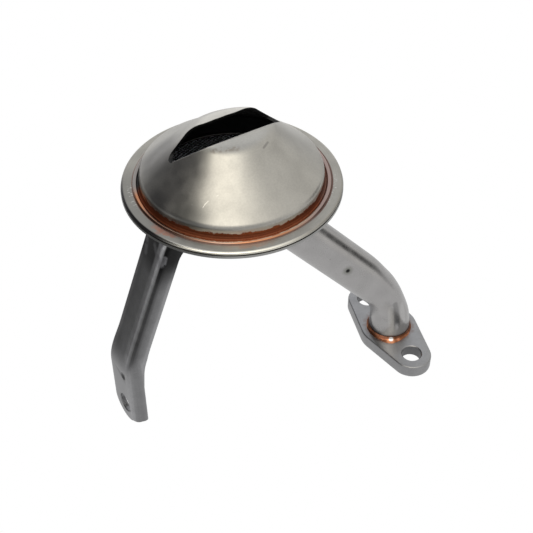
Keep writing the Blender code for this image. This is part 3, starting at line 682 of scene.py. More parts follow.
def build_flange_brazing(copper):
    """Fillet round the foot of the tube, with a run-out blob on one side."""
    inner = TUBE_RADIUS + SEAT_GAP / 3
    base = FLANGE_THICKNESS + SEAT_GAP / 10
    reach = FOOT_FILLET_REACH + SEAT_GAP
    corners = (
        ((inner, base), 0.0),
        ((inner + reach, base), 0.0),
        ((inner + reach * 0.3, base + FILLET_SIZE * 0.4), FILLET_SIZE),
        ((inner, base + FILLET_SIZE + SEAT_GAP), 0.0))
    builder = revolved(rounded(corners), TUBE_SEGMENTS)
    for vertex in builder.verts:
        turn = math.atan2(vertex.co.y, vertex.co.x) - FOOT_BLOB_ANGLE
        turn = math.atan2(math.sin(turn), math.cos(turn))
        swell = math.exp(-(turn / FOOT_BLOB_WIDTH) ** 2)
        radius = vertex.co.xy.length
        share = (radius - inner) / reach
        uneven = ripple(vertex.co) * 3
        wider = (radius + (FOOT_BLOB_REACH * swell + uneven) * share) / radius
        vertex.co.x *= wider
        vertex.co.y *= wider
        if vertex.co.z > base:
            vertex.co.z += uneven
    fillet = make_object("flange_brazing", moved(builder, Matrix.Translation(FOOT)))
    dress(fillet, copper, "braze_copper", "flange_braze")


def distance_to_pan(point):
    """How far a point is from the pan's lower face, wall or floor, along the tube's direction."""
    near = 0.0
    far = TUBE_RADIUS * 4
    for _ in range(PAN_HALVINGS):
        halfway = (near + far) / 2
        probe = point + TUBE_DIRECTION * halfway - HEAD
        under = max(PAN_FLOOR_TOP - PAN_SHEET, pan_underside(probe.xy.length))
        if probe.z < under:
            near = halfway
        else:
            far = halfway
    return near


def build_tube_brazing(copper):
    """Fillet round the tube where it enters the pan. It follows the pan's wall all the way round."""
    side = UP.cross(TUBE_INWARD)
    across = side.cross(TUBE_DIRECTION)
    start = wall_entry() - TUBE_DIRECTION * (TUBE_RADIUS * 1.5)
    size = FILLET_SIZE
    outline = rounded((
        ((0.0, 0.0), 0.0),
        ((size, 0.0), 0.0),
        ((size * 0.3, size * 0.3), size),
        ((0.0, size), 0.0)))
    loops = []
    for reach, back in outline:
        radius = TUBE_RADIUS + SEAT_GAP / 3 + reach
        loop = []
        for foot in circle(start, across, side, radius):
            uneven = ripple(foot) * back / size
            loop.append(foot + TUBE_DIRECTION * (distance_to_pan(foot) - SEAT_GAP / 3 - back + uneven))
        loops.append(loop)
    builder = bmesh.new()
    bridge(builder, loops, closed=True)
    dress(make_object("tube_brazing", builder), copper, "braze_copper", "tube_braze")


# Support bracket

class BracketFrame:
    """Lines and directions of the bracket, down from its seat under the pan's ledge to its foot."""

    def __init__(self):
        self.lean = Vector((math.tan(BRACKET_LEAN_IN), -math.tan(BRACKET_LEAN_SIDE), 1.0))
        self.web_across = Vector((math.sin(BRACKET_TWIST), math.cos(BRACKET_TWIST), 0.0))
        self.pad_way = Vector((self.web_across.y, -self.web_across.x, 0.0))
        bearing = Vector((math.cos(BRACKET_BEARING), math.sin(BRACKET_BEARING), 0.0))
        self.top = (HEAD + bearing * BRACKET_REACH).xy.to_3d()
        self.top.z = BRACKET_PAD_TOP
        self.knee = self.top - self.lean * (BRACKET_PAD_TOP - BRACKET_KNEE_HEIGHT)
        self.foot = self.knee.xy.to_3d()
        self.pad_end = self.top + self.pad_way * BRACKET_PAD_LENGTH
        inward = self.web_across.cross(self.lean).normalized()
        drop = Vector((0.0, 0.0, -BRACKET_GUSSET_DEPTH - BRACKET_GUSSET_RADIUS))
        reach = BRACKET_FLANGE_UPPER + BRACKET_GUSSET_RADIUS - drop.dot(inward)
        self.gusset_centre = self.top + drop + self.pad_way * (reach / self.pad_way.dot(inward))
        along = self.lean.normalized()
        self.gusset_start = self.top + along * (self.gusset_centre - self.top).dot(along)


def bracket_section(flange_width, ridge_round):
    """L section from its outer corner: x across the web, y across the side flange."""
    sheet = BRACKET_SHEET
    edge = BRACKET_EDGE_ROUND
    halfway = Vector((BRACKET_WEB_WIDTH, sheet / 2))
    outside = rounded((
        (halfway, 0.0),
        ((BRACKET_WEB_WIDTH, 0.0), edge),
        ((0.0, 0.0), ridge_round),
        ((0.0, flange_width), edge),
        ((sheet / 2, flange_width), 0.0)))
    inside = rounded((
        ((sheet / 2, flange_width), 0.0),
        ((sheet, flange_width), edge),
        ((sheet, sheet), BRACKET_INNER_ROUND),
        ((BRACKET_WEB_WIDTH, sheet), edge),
        (halfway, 0.0)))
    return outside[:-1] + inside[:-1]


def bracket_sections(lines):
    """Sections up the ridge. From the gusset's start on, the side flange points to the centre of the gusset's edge."""
    root_width = BRACKET_SHEET + BRACKET_INNER_ROUND
    corners = [
        (lines.foot - UP * BRACKET_SHEET, 0.0),
        (lines.foot + UP * BRACKET_FLARE_HEIGHT, 0.0),
        (lines.knee, BRACKET_KNEE_BEND),
        (lines.gusset_start, 0.0),
        (lines.gusset_start.lerp(lines.top, 0.2), 0.0),
        (lines.top, BRACKET_TOP_BEND),
        (lines.pad_end, 0.0)]
    ridge = rounded(corners, BRACKET_BEND_STEPS)
    sections = []
    for index, point in enumerate(ridge):
        way = way_at(ridge, index)
        twist = clamped((index - 2) / BRACKET_BEND_STEPS)
        twist *= twist * (3 - 2 * twist)
        web = Vector((0.0, 1.0, 0.0)).lerp(lines.web_across, twist)
        web = (web - way * web.dot(way)).normalized()
        inward = web.cross(way)
        root = point + inward * root_width
        share = clamped((point.z - BRACKET_FLARE_HEIGHT) / (BRACKET_KNEE_HEIGHT - BRACKET_FLARE_HEIGHT))
        width = BRACKET_FLANGE_LOWER + (BRACKET_FLANGE_UPPER - BRACKET_FLANGE_LOWER) * share
        outward = inward
        if point.z >= lines.gusset_start.z:
            outward = (lines.gusset_centre - root).normalized()
            width = root_width + (lines.gusset_centre - root).length - BRACKET_GUSSET_RADIUS
        section = []
        softness = clamped(point.z / BRACKET_FLARE_HEIGHT)
        ridge_round = BRACKET_FOOT_ROUND + (BRACKET_RIDGE_ROUND - BRACKET_FOOT_ROUND) * softness
        for flat in bracket_section(width, ridge_round):
            beyond = max(flat.y - root_width, 0.0)
            section.append(point + web * flat.x + inward * (flat.y - beyond) + outward * beyond)
        sections.append(section)
    return sections


def bracket_end_cutter(foot):
    """Everything below the round end of the web, up to where the ridge's own end takes over."""
    reach = BRACKET_END_RADIUS * 2
    below = -BRACKET_SHEET * 2
    centre = BRACKET_HOLE_INSET
    last = -math.acos((BRACKET_END_BLEND - BRACKET_HOLE_INSET) / BRACKET_END_RADIUS)
    outline = [
        Vector((BRACKET_END_BLEND, below)),
        Vector((centre + reach, below)),
        Vector((centre + reach, BRACKET_END_RADIUS))]
    for point in arc(centre, BRACKET_END_RADIUS, 0.0, last, BRACKET_END_STEPS):
        outline.append(point + Vector((0.0, BRACKET_END_RADIUS)))
    return prism(
        outline, -BRACKET_SHEET, BRACKET_SHEET + BRACKET_INNER_ROUND,
        lambda along, point: foot + Vector((along, point.x, point.y)))


def bracket_toe_cutter(foot, start, width):
    """Everything below the slanted end of the side flange, from a place across it, over a width from its face."""
    run = BRACKET_HOLE_INSET - BRACKET_END_BLEND
    ridge_height = BRACKET_END_RADIUS - math.sqrt(BRACKET_END_RADIUS ** 2 - run ** 2)
    drop = (ridge_height - BRACKET_TOE_OUTER_HEIGHT) / BRACKET_FLANGE_LOWER
    below = -BRACKET_SHEET * 2
    beyond = BRACKET_FLANGE_LOWER + BRACKET_SHEET
    outline = rounded((
        ((start, ridge_height - drop * start), 0.0),
        ((BRACKET_FLANGE_LOWER, BRACKET_TOE_OUTER_HEIGHT), BRACKET_TOE_ROUND),
        ((beyond - BRACKET_SHEET / 2, BRACKET_END_RADIUS), 0.0)), steps=12)
    outline += [Vector((beyond, BRACKET_END_RADIUS)), Vector((beyond, below)), Vector((start, below))]
    return prism(outline, -BRACKET_SHEET, width, lambda across, point: foot + Vector((point.x, across, point.y)))


def build_bracket(steel):
    lines = BracketFrame()
    foot = lines.foot
    bracket = make_object("bracket", lofted(bracket_sections(lines)), sharp_angle=50.0)
    start = foot + Vector((0.0, BRACKET_HOLE_INSET, BRACKET_END_RADIUS))
    ball = bmesh.new()
    outside = DIMPLE_BALL_RADIUS - DIMPLE_DEPTH
    place = foot + Vector((-outside, DIMPLE_INSET, DIMPLE_HEIGHT))
    bmesh.ops.create_icosphere(ball, subdivisions=5, radius=DIMPLE_BALL_RADIUS, matrix=Matrix.Translation(place))
    cutters = [
        bolt_hole(BRACKET_HOLE_RADIUS, BRACKET_SHEET, start, Vector((1.0, 0.0, 0.0))),
        ball,
        bracket_end_cutter(foot),
        bracket_toe_cutter(foot, -BRACKET_SHEET, BRACKET_END_BLEND),
        bracket_toe_cutter(foot, BRACKET_SHEET, BRACKET_SHEET * 2)]
    cut(bracket, cutters, sharp_angle=40.0)
    dress(bracket, steel, "bracket_steel", "support_bracket")


def build_bracket_brazing(copper):
    """Fillet under the pan's ledge along the bracket's foot pad: down its far side and across its end."""
    lines = BracketFrame()
    tangent = BRACKET_TOP_BEND * math.tan((math.pi / 2 - BRACKET_LEAN_IN) / 2)
    far = BRACKET_WEB_WIDTH + SEAT_GAP / 3
    end = BRACKET_PAD_LENGTH + SEAT_GAP / 3
    route = rounded((
        ((tangent, far), 0.0),
        ((end, far), PAD_FILLET_CORNER),
        ((end, BRACKET_RIDGE_ROUND), 0.0)))
    outline = rounded((
        ((0.0, 0.0), 0.0),
        ((PAD_FILLET_REACH, 0.0), 0.0),
        ((PAD_FILLET_REACH * 0.2, PAD_FILLET_DROP * 0.2), PAD_FILLET_REACH),
        ((0.0, PAD_FILLET_DROP), 0.0)))
    sections = []
    for index, (along, across) in enumerate(route):
        way = way_at(route, index)
        outward = lines.web_across * way.x - lines.pad_way * way.y
        corner = lines.top + lines.pad_way * along + lines.web_across * across
        sections.append([corner + outward * reach - UP * drop for reach, drop in outline])
    dress(make_object("bracket_brazing", lofted(sections)), copper, "braze_copper", "bracket_braze")


# Materials

class Nodes:
    """A node tree that grows by short calls."""

    def __init__(self, tree):
        self.nodes = tree.nodes
        self.links = tree.links

    def feed(self, socket, value):
        if isinstance(value, bpy.types.NodeSocket):
            self.links.new(value, socket)
        elif socket.type == "RGBA":
            socket.default_value = (*value, 1.0)
        else:
            socket.default_value = value

    def add(self, kind, *values, **settings):
        """A new node with these settings. The values go to its first sockets."""
        node = self.nodes.new("ShaderNode" + kind)
        for name, setting in settings.items():
            setattr(node, name, setting)
        for socket, value in zip(node.inputs, values):
            self.feed(socket, value)
        return node

    def calc(self, operation, *values):
        return self.add("Math", *values, operation=operation).outputs[0]

    def vector(self, operation, *values):
        single = operation in ("LENGTH", "DISTANCE", "DOT_PRODUCT")
        return self.add("VectorMath", *values, operation=operation).outputs["Value" if single else "Vector"]

    def scaled(self, vector, factor):
        node = self.add("VectorMath", vector, operation="SCALE")
        self.feed(node.inputs["Scale"], factor)
        return node.outputs["Vector"]

    def joined(self, x, y, z):
        return self.add("CombineXYZ", x, y, z).outputs[0]

    def mixed(self, factor, first, second, kind="RGBA", blend="MIX"):
        node = self.add("Mix", factor, data_type=kind, blend_type=blend)
        first_socket, result = (6, 2) if kind == "RGBA" else (2, 0)
        self.feed(node.inputs[first_socket], first)
        self.feed(node.inputs[first_socket + 1], second)
        return node.outputs[result]

    def fade(self, value, start, end, low=0.0, high=1.0):
        """Low before start, high after end, and smooth between them. Start may lie after end."""
        if start > end:
            start, end, low, high = end, start, high, low
        return self.add("MapRange", value, start, end, low, high, interpolation_type="SMOOTHSTEP").outputs["Result"]

    def both(self, *masks):
        mask = masks[0]
        for other in masks[1:]:
            mask = self.calc("MULTIPLY", mask, other)
        return mask

    def band(self, value, low, high, soft):
        """Mask that is 1 between two values, with soft ends."""
        return self.both(self.fade(value, low - soft, low + soft), self.fade(value, high + soft, high - soft))


class Look(Nodes):
    """A metal in the making. Its places are in millimetres from a given point."""

    def __init__(self, name, colour, roughness, origin=HEAD):
        self.material = bpy.data.materials.new(name)
        self.material.use_nodes = True
        super().__init__(self.material.node_tree)
        self.shader = self.nodes["Principled BSDF"]
        self.shader.inputs["Metallic"].default_value = 1.0
        self.colour = colour
        self.roughness = roughness
        self.normal = None
        corner = self.add("TexCoord").outputs["Object"]
        self.place = self.scaled(self.vector("SUBTRACT", corner, tuple(origin)), 1 / MILLIMETRE)
        self.x, self.y, self.z = self.add("SeparateXYZ", self.place).outputs
        squares = [self.calc("MULTIPLY", part, part) for part in (self.x, self.y)]
        self.radius = self.calc("SQRT", self.calc("ADD", *squares))
        self.angle = self.calc("ARCTAN2", self.y, self.x)

    def noise(self, size, detail=2.0, place=None):
        """Noise between 0 and 1 with features of about this size in millimetres."""
        node = self.add("TexNoise", place or self.place)
        node.inputs["Scale"].default_value = 1 / size
        node.inputs["Detail"].default_value = detail
        return node.outputs["Fac"]

    def ragged(self, value, size, amount):
        """The value, made uneven by up to this amount."""
        return self.calc("ADD", value, self.fade(self.noise(size, 3.0), 0.3, 0.7, -amount, amount))

    def paint(self, colour, *masks, roughness=None):
        """Lays another colour, and maybe another roughness, over what is there, as far as all masks reach."""
        mask = self.both(*masks)
        self.colour = self.mixed(mask, self.colour, colour)
        if roughness is not None:
            self.roughness = self.mixed(mask, self.roughness, roughness, "FLOAT")

    def shade(self, grey):
        self.colour = self.mixed(1.0, self.colour, grey, "RGBA", "MULTIPLY")

    def vary(self, size, amount, detail=2.0):
        """Uneven brightness with patches of about this size."""
        self.shade(self.fade(self.noise(size, detail), 0.25, 0.75, 1.0 - amount, 1.0 + amount))

    def vary_roughness(self, size, amount):
        change = self.fade(self.noise(size), 0.25, 0.75, -amount, amount)
        self.roughness = self.calc("ADD", self.roughness, change)

    def emboss(self, height, depth):
        """Bump from a value between 0 and 1, this many millimetres deep."""
        node = self.add("Bump")
        node.inputs["Distance"].default_value = depth * MILLIMETRE
        self.feed(node.inputs["Height"], height)
        if self.normal:
            self.feed(node.inputs["Normal"], self.normal)
        self.normal = node.outputs["Normal"]

    def grain(self, depth=0.006):
        """Fine even tooth of blasted steel."""
        self.emboss(self.noise(0.35, 3.0), depth)

    def near_line(self, first, last, width):
        """Mask of a scratch between two points."""
        first = Vector(first)
        run = Vector(last) - first
        from_start = self.vector("SUBTRACT", self.place, tuple(first))
        share = self.vector("DOT_PRODUCT", from_start, tuple(run / run.length_squared))
        share = self.calc("MINIMUM", self.calc("MAXIMUM", share, 0.0), 1.0)
        nearest = self.scaled(tuple(run), share)
        return self.fade(self.vector("DISTANCE", from_start, nearest), width, width / 3)

    def near_point(self, point, inner, outer):
        return self.fade(self.vector("DISTANCE", self.place, tuple(point)), outer, inner)

    def streaks(self, colour, strength, lines, roughness=None):
        """Scratches or soft streaks from (first, last, width) lines."""
        for line in lines:
            self.paint(colour, self.near_line(*line), strength, roughness=roughness)

    def turn_from(self, heading):
        """Degrees round Z from a heading, positive anticlockwise."""
        east, north = math.cos(heading), math.sin(heading)
        ahead = self.vector("DOT_PRODUCT", self.place, (east, north, 0.0))
        aside = self.vector("DOT_PRODUCT", self.place, (-north, east, 0.0))
        return self.calc("MULTIPLY", self.calc("ARCTAN2", aside, ahead), 180 / math.pi)

    def ramp(self, value, *stops):
        """Grey from (value, grey) stops in rising order."""
        low, high = stops[0][0], stops[-1][0]
        ramp = self.add("ValToRGB", self.add("MapRange", value, low, high).outputs["Result"])
        ramp.color_ramp.interpolation = "EASE"
        elements = ramp.color_ramp.elements
        while len(elements) < len(stops):
            elements.new(0.5)
        for element, (place, grey) in zip(elements, stops):
            element.position = (place - low) / (high - low)
            element.color = (grey, grey, grey, 1.0)
        return ramp.outputs["Color"]

    def finished(self):
        self.feed(self.shader.inputs["Base Color"], self.colour)
        self.feed(self.shader.inputs["Roughness"], self.roughness)
        if self.normal:
            self.feed(self.shader.inputs["Normal"], self.normal)
        return self.material


WARM_STEEL = (0.53, 0.515, 0.475)
LIP_COPPER = (0.52, 0.33, 0.25)
COPPER = (0.66, 0.30, 0.16)
MIDDLE_COPPER = (0.31, 0.105, 0.05)
BROWN_COPPER = (0.27, 0.105, 0.05)
# Black: soot in patches on the brazing, and painted shade on the head's dark left side
SOOT_AND_SHADE = (0.07, 0.07, 0.075)

# Heading of the side of the head that faces the photograph's viewer, and bright and dark scratches there
FRONT = math.radians(-123.0)
BRIGHT_SCRATCHES = (
    ((-24.5, -18.9, 9.8), (-23.2, -18.6, 10.7), 0.20),
    ((-23.2, -18.6, 10.7), (-21.9, -18.7, 11.6), 0.20),
    ((-27.5, -14.6, 9.8), (-26.8, -15.4, 9.8), 0.16),
    ((-18.8, -19.6, 13.1), (-18.0, -19.8, 13.5), 0.16),
    ((-12.5, -22.6, 13.6), (-11.4, -24.4, 12.4), 0.16),
    ((14.6, -21.5, 14.3), (16.2, -22.3, 12.9), 0.20),
    ((3.5, -29.0, 10.2), (5.2, -29.9, 9.3), 0.16))
DARK_SCRATCHES = (
    ((4.0, -16.3, 23.3), (6.9, -14.8, 23.8), 0.60),
    ((9.0, -17.0, 21.0), (10.4, -16.0, 21.4), 0.25),
    ((-8.0, -27.5, 9.8), (-7.0, -28.8, 9.0), 0.30),
    ((18.5, -17.6, 14.9), (19.4, -18.6, 13.9), 0.45))


def cover_look():
    """Satin bell with a painted highlight on its near flank and painted shade on its left. Its skirt's foot is
    coppered in dark brown, partly the copper's own colour and partly painted shade, with painted shade at the left.
    """
    look = Look("cover_steel", WARM_STEEL, 0.34)
    look.vary(9.0, 0.06)
    look.vary(0.7, 0.05, 3.0)
    look.vary_roughness(5.0, 0.04)
    # A painted highlight at the top of the near flank, then painted shade on the lower left flank, on the left
    # shoulder and higher up on the left
    for colour, strength, point, inner, outer in (
            ((0.78, 0.76, 0.69), 1.0, (-16.5, -7.0, 23.0), 1.0, 7.5),
            ((0.17, 0.17, 0.16), 0.85, (-30.0, -18.0, 6.5), 2.0, 11.0),
            ((0.18, 0.18, 0.18), 0.6, (-35.0, -3.0, 5.0), 1.0, 9.0),
            ((0.20, 0.195, 0.19), 0.8, (-24.0, 14.0, 12.0), 5.0, 16.0)):
        look.paint(colour, look.near_point(point, inner, outer), strength)
    smudge = look.near_line((-13.0, -8.6, 24.2), (-5.5, -12.8, 24.6), 1.6)
    look.paint((0.30, 0.24, 0.18), smudge, look.fade(look.noise(1.5, 3.0), 0.4, 0.6), 0.5)
    look.streaks((0.85, 0.83, 0.78), 0.7, BRIGHT_SCRATCHES, 0.25)
    look.streaks((0.24, 0.23, 0.22), 0.6, DARK_SCRATCHES)

    turn = look.turn_from(FRONT)
    # The skirt's foot is coppered in dark brown: partly the copper's own colour, partly painted shade of the groove
    coppered = look.both(look.fade(look.ragged(look.z, 2.5, 0.5), 3.3, 2.7), look.fade(turn, -84.0, -76.0))
    copper = look.mixed(look.band(turn, 4.0, 34.0, 8.0), (0.20, 0.060, 0.026), (0.31, 0.10, 0.043))
    copper = look.mixed(look.band(turn, -80.0, -66.0, 4.0), copper, COPPER)
    look.paint(copper, coppered, roughness=0.55)
    # Painted shade at the left of the skirt's foot
    look.paint(SOOT_AND_SHADE, look.fade(look.z, 4.4, 2.6), look.fade(turn, -76.0, -84.0))
    look.grain()
    return look.finished()


def rim_look():
    """Turned steel with tool marks and copper smears. Its face has painted shade on the left. Its rolled lip is
    coppered, with a painted highlight on its crest, and its outer edge has a painted highlight at the front and
    painted shade at the left.
    """
    look = Look("rim_steel", (0.42, 0.405, 0.365), 0.34)
    look.vary(6.0, 0.08)
    turn = look.turn_from(FRONT)
    turning = look.joined(look.calc("MULTIPLY", look.radius, 5.0), look.calc("MULTIPLY", look.angle, 3.0), look.z)
    marks = look.noise(1.0, 3.0, turning)
    look.shade(look.fade(marks, 0.3, 0.7, 0.92, 1.08))
    # Painted shade on the left of the rim's face
    look.paint((0.26, 0.255, 0.235), look.band(turn, -95.0, -38.0, 10.0), 0.6)

    spokes = look.joined(look.calc("MULTIPLY", look.angle, 70.0), look.calc("MULTIPLY", look.radius, 0.5), 0.0)
    specks = look.both(look.fade(look.noise(1.0, 2.0, spokes), 0.56, 0.66), look.fade(look.radius, 41.2, 40.2))
    look.paint((0.72, 0.71, 0.66), specks, look.band(turn, -86.0, -66.0, 5.0))
    look.paint((0.74, 0.73, 0.70), specks, look.band(turn, 68.0, 92.0, 5.0))

    run = look.ragged(look.radius, 2.2, 1.2)
    look.paint((0.50, 0.27, 0.20), look.fade(run, 41.0, 40.2), look.band(turn, -46.0, -31.0, 2.5), 0.9)
    look.paint((0.46, 0.22, 0.16), look.fade(run, 42.9, 42.2), look.band(turn, -41.5, -39.5, 1.5), 0.7)
    look.paint((0.56, 0.36, 0.27), look.fade(run, 41.4, 39.6), look.band(turn, 0.0, 20.0, 6.0), 0.6)

    # Painted highlight along the front of the outer edge, and painted shade along it at the left
    painted_edge_highlight = look.both(look.fade(look.radius, 42.2, 42.5), look.band(turn, -34.0, 34.0, 12.0))
    look.paint((0.95, 0.92, 0.82), painted_edge_highlight, roughness=0.2)
    look.paint(SOOT_AND_SHADE, look.fade(look.radius, 42.2, 42.7), look.band(turn, -88.0, -34.0, 10.0), 0.9)

    look.paint((0.26, 0.17, 0.145), look.fade(look.radius, 39.25, 38.95), roughness=0.34)
    shadow = look.both(look.fade(look.radius, 39.6, 39.2), look.fade(turn, 40.0, 60.0))
    look.paint((0.15, 0.085, 0.07), shadow, roughness=0.34)
    # Painted highlight on the lip's crest at the front
    crest = look.both(look.band(look.radius, 37.4, 38.15, 0.2), look.band(turn, -36.0, 48.0, 14.0))
    lip = LIP_COPPER
    for mask, colour in (
            (look.band(turn, 2.0, 36.0, 6.0), COPPER),
            (look.band(turn, -60.0, -12.0, 6.0), (0.40, 0.22, 0.15)),
            (look.band(turn, -75.0, -60.0, 3.0), COPPER),
            (look.fade(turn, -74.0, -84.0), (0.36, 0.33, 0.31)),
            (look.fade(turn, 40.0, 56.0), (0.44, 0.33, 0.30)),
            (crest, (1.0, 0.86, 0.70))):
        lip = look.mixed(mask, lip, colour)
    look.paint(lip, look.fade(look.radius, 38.85, 38.6), roughness=0.18)
    look.emboss(marks, 0.004)
    look.grain()
    return look.finished()


def groove_look():
    """Copper round the cover's skirt: dark brown, partly the copper's own colour and partly painted shade of the
    groove, more orange to the right of the front, with painted shade at the left.
    """
    # Dark brown base: partly the copper's own colour, partly painted shade of the deep groove
    look = Look("groove_copper", (0.22, 0.066, 0.030), 0.58)
    turn = look.turn_from(FRONT)
    look.vary(5.0, 0.15)
    look.paint(MIDDLE_COPPER, look.band(turn, -40.0, 50.0, 12.0), 0.8)
    look.paint((0.24, 0.17, 0.15), look.fade(turn, 60.0, 75.0), 0.5)
    # Painted shade at the left
    look.paint(SOOT_AND_SHADE, look.fade(turn, -76.0, -84.0))
    look.vary(0.7, 0.07, 3.0)
    look.emboss(look.noise(0.8, 3.0), 0.012)
    return look.finished()


def flange_look():
    """Flat stamped plate with painted shade in its bolt holes and a brown stain round the tube."""
    look = Look("flange_steel", (0.38, 0.38, 0.385), 0.36, FOOT)
    look.vary(7.0, 0.06)
    look.vary(0.8, 0.05, 3.0)
    look.vary_roughness(4.0, 0.03)
    half = BOLT_SPACING / 2 / MILLIMETRE
    # Painted shade on the walls of the bolt holes
    for end in (-half, half):
        across = look.calc("SUBTRACT", look.x, end * math.cos(BOLT_LINE_ANGLE))
        along = look.calc("SUBTRACT", look.y, end * math.sin(BOLT_LINE_ANGLE))
        radius = look.vector("LENGTH", look.joined(across, along, 0.0))
        look.paint((0.12, 0.12, 0.125), look.fade(radius, 4.9, 4.6), look.fade(look.z, 6.0, 5.4), 0.75)
    look.paint((0.24, 0.17, 0.15), look.fade(look.ragged(look.radius, 2.0, 0.8), 12.2, 10.6), 0.45)
    look.grain(0.004)
    return look.finished()


def plain_look(name, colour, roughness):
    look = Look(name, colour, roughness)
    look.vary(7.0, 0.06)
    look.vary(0.8, 0.04, 3.0)
    look.vary_roughness(4.0, 0.03)
    look.grain()
    return look.finished()


def tube_look():
    """Smooth drawn tube with a rust pit and small specks. At the bend's foot it has a painted dark reflection in the
    crease, with painted light reflections beside it.
    """
    look = Look("tube_steel", (0.50, 0.49, 0.485), 0.24, FOOT)
    look.vary(8.0, 0.05)
    look.vary_roughness(5.0, 0.04)
    dark = (0.20, 0.19, 0.18)
    look.paint(dark, look.fade(look.noise(0.55, 1.0), 0.76, 0.82))
    pit = (-26.9, 0.3, 54.8)
    look.paint((0.20, 0.205, 0.17), look.near_point(pit, 0.8, 3.2), 0.6)
    look.paint((0.03, 0.03, 0.03), look.near_point(pit, 0.5, 1.3), roughness=0.5)
    look.streaks(dark, 0.8, (
        ((-34.3, 2.8, 63.4), (-33.9, 1.9, 61.8), 0.22),
        ((-34.8, 3.4, 63.2), (-34.3, 2.8, 63.4), 0.22),
        ((-36.4, 1.2, 59.6), (-35.2, 0.6, 58.9), 0.22),
        ((-5.6, -6.5, 39.0), (-4.6, -6.9, 38.0), 0.35)))
    # Painted dark reflection along the crease at the bend's foot
    look.streaks((0.16, 0.16, 0.16), 0.45, [((-5.0, -8.2, 29.0), (-3.0, -9.0, 17.5), 1.9)])
    # Painted light reflections on both sides of the crease
    look.streaks((0.72, 0.71, 0.70), 0.4, (
        ((-6.8, -7.2, 27.0), (-5.4, -7.8, 12.0), 1.8),
        ((-0.8, -9.2, 27.0), (-0.5, -9.2, 17.0), 2.4)))
    look.paint((0.16, 0.13, 0.12), look.fade(look.z, 9.4, 7.8))
    look.grain(0.0025)
    return look.finished()


def bracket_look():
    """Dull pressing whose grey is painted in bands of light and shade on both sides of its ridge: a painted highlight
    on the ridge, painted reflections and shade on its faces.

    The bands lie at distances from the ridge: negative on the side flange, positive on the web.
    """
    lines = BracketFrame()
    look = Look("bracket_steel", (1.0, 1.0, 1.02), 0.33, lines.top)
    inward = lines.web_across.cross(lines.lean).normalized()
    upper = look.calc("SUBTRACT", *(
        look.vector("DOT_PRODUCT", look.place, tuple(way)) for way in (lines.web_across, inward)))
    foot = (lines.foot - lines.top) / MILLIMETRE
    lower = look.calc("ADD", look.calc("SUBTRACT", look.y, look.x), foot.x - foot.y)
    height = look.calc("ADD", look.z, lines.top.z / MILLIMETRE)
    # Painted highlight on the ridge, painted reflections and shade on the faces, in bands across the section above and
    # below the knee
    upper_tone = look.ramp(
        upper, (-8.0, 0.44), (-7.0, 0.40), (-6.0, 0.28), (-4.9, 0.235), (-3.9, 0.21), (-2.8, 0.15), (-1.8, 0.12),
        (-0.7, 0.20), (0.4, 0.62), (1.5, 1.0), (2.8, 0.66), (4.4, 0.52), (5.4, 0.40), (7.3, 0.37), (10.0, 0.33),
        (13.0, 0.27), (15.0, 0.36), (16.7, 0.44))
    lower_tone = look.ramp(
        lower, (-6.4, 0.40), (-5.4, 0.30), (-4.0, 0.265), (-2.2, 0.27), (-0.8, 0.31), (0.8, 0.42), (2.2, 0.44),
        (4.5, 0.37), (8.0, 0.34), (14.0, 0.34), (16.7, 0.42))
    look.shade(look.mixed(look.fade(height, 33.0, 43.0), lower_tone, upper_tone))
    # Painted shade under the pan's rim: on the web, and deeper on the side flange
    look.paint((0.10, 0.10, 0.10), look.fade(upper, 4.0, 5.5), look.fade(height, 79.0, 87.0), 0.9)
    look.paint((0.02, 0.02, 0.02), look.fade(upper, 0.2, -0.8), look.fade(height, 72.0, 89.0), 0.95)
    # Light patches near the top: painted reflections
    for line in (
            ((-0.8, 14.8, -9.5), (-2.6, 13.4, -13.5), 2.2),
            ((-1.2, 7.7, -7.4), (-1.8, 3.4, -9.5), 2.0),
            ((-1.8, 3.4, -9.5), (-2.4, 1.6, -12.0), 1.8),
            ((-1.1, 0.9, -8.8), (-2.0, 0.8, -11.4), 1.5)):
        look.paint((0.46, 0.46, 0.48), look.near_line(*line), look.fade(look.noise(2.6), 0.28, 0.5), 0.6)
    # Painted shade in the dimple
    dimple = foot + Vector((0.0, DIMPLE_INSET, DIMPLE_HEIGHT)) / MILLIMETRE
    look.paint((0.07, 0.07, 0.07), look.near_point(dimple, 0.8, 2.6), 0.8)
    look.vary(4.0, 0.07)
    look.vary(0.8, 0.05, 3.0)
    look.vary_roughness(4.0, 0.03)
    look.grain()
    return look.finished()


def braze_look():
    """Bare copper with brown and sooty places, one bright orange drop, and a painted glint on that drop."""
    look = Look("braze_copper", (0.56, 0.22, 0.12), 0.26, FOOT)
    look.paint(BROWN_COPPER, look.fade(look.noise(3.0, 3.0), 0.34, 0.54), roughness=0.34)
    look.paint((0.78, 0.34, 0.18), look.near_point((-5.9, -8.9, 5.8), 1.2, 2.4), 0.8)
    # Painted glint on the drop at the foot, with low roughness
    look.paint((0.97, 0.93, 0.90), look.near_point((-5.4, -8.3, 7.0), 0.7, 1.3), roughness=0.15)
    look.paint(SOOT_AND_SHADE, look.fade(look.noise(1.4, 3.0), 0.60, 0.72), 0.7)
    look.vary(0.6, 0.08, 3.0)
    look.emboss(look.noise(0.7, 3.0), 0.03)
    return look.finished()


# Stage: camera, floor and light

CAMERA_PLACE = FOOT + Vector((-0.2364, -0.2485, 0.3617))
CAMERA_TILT = math.radians(46.742)
CAMERA_HEADING = math.radians(-34.0)
CAMERA_LENS = 70.92
CAMERA_SENSOR = 36.0
CAMERA_NEAR = 0.01
CAMERA_FAR = 10.0


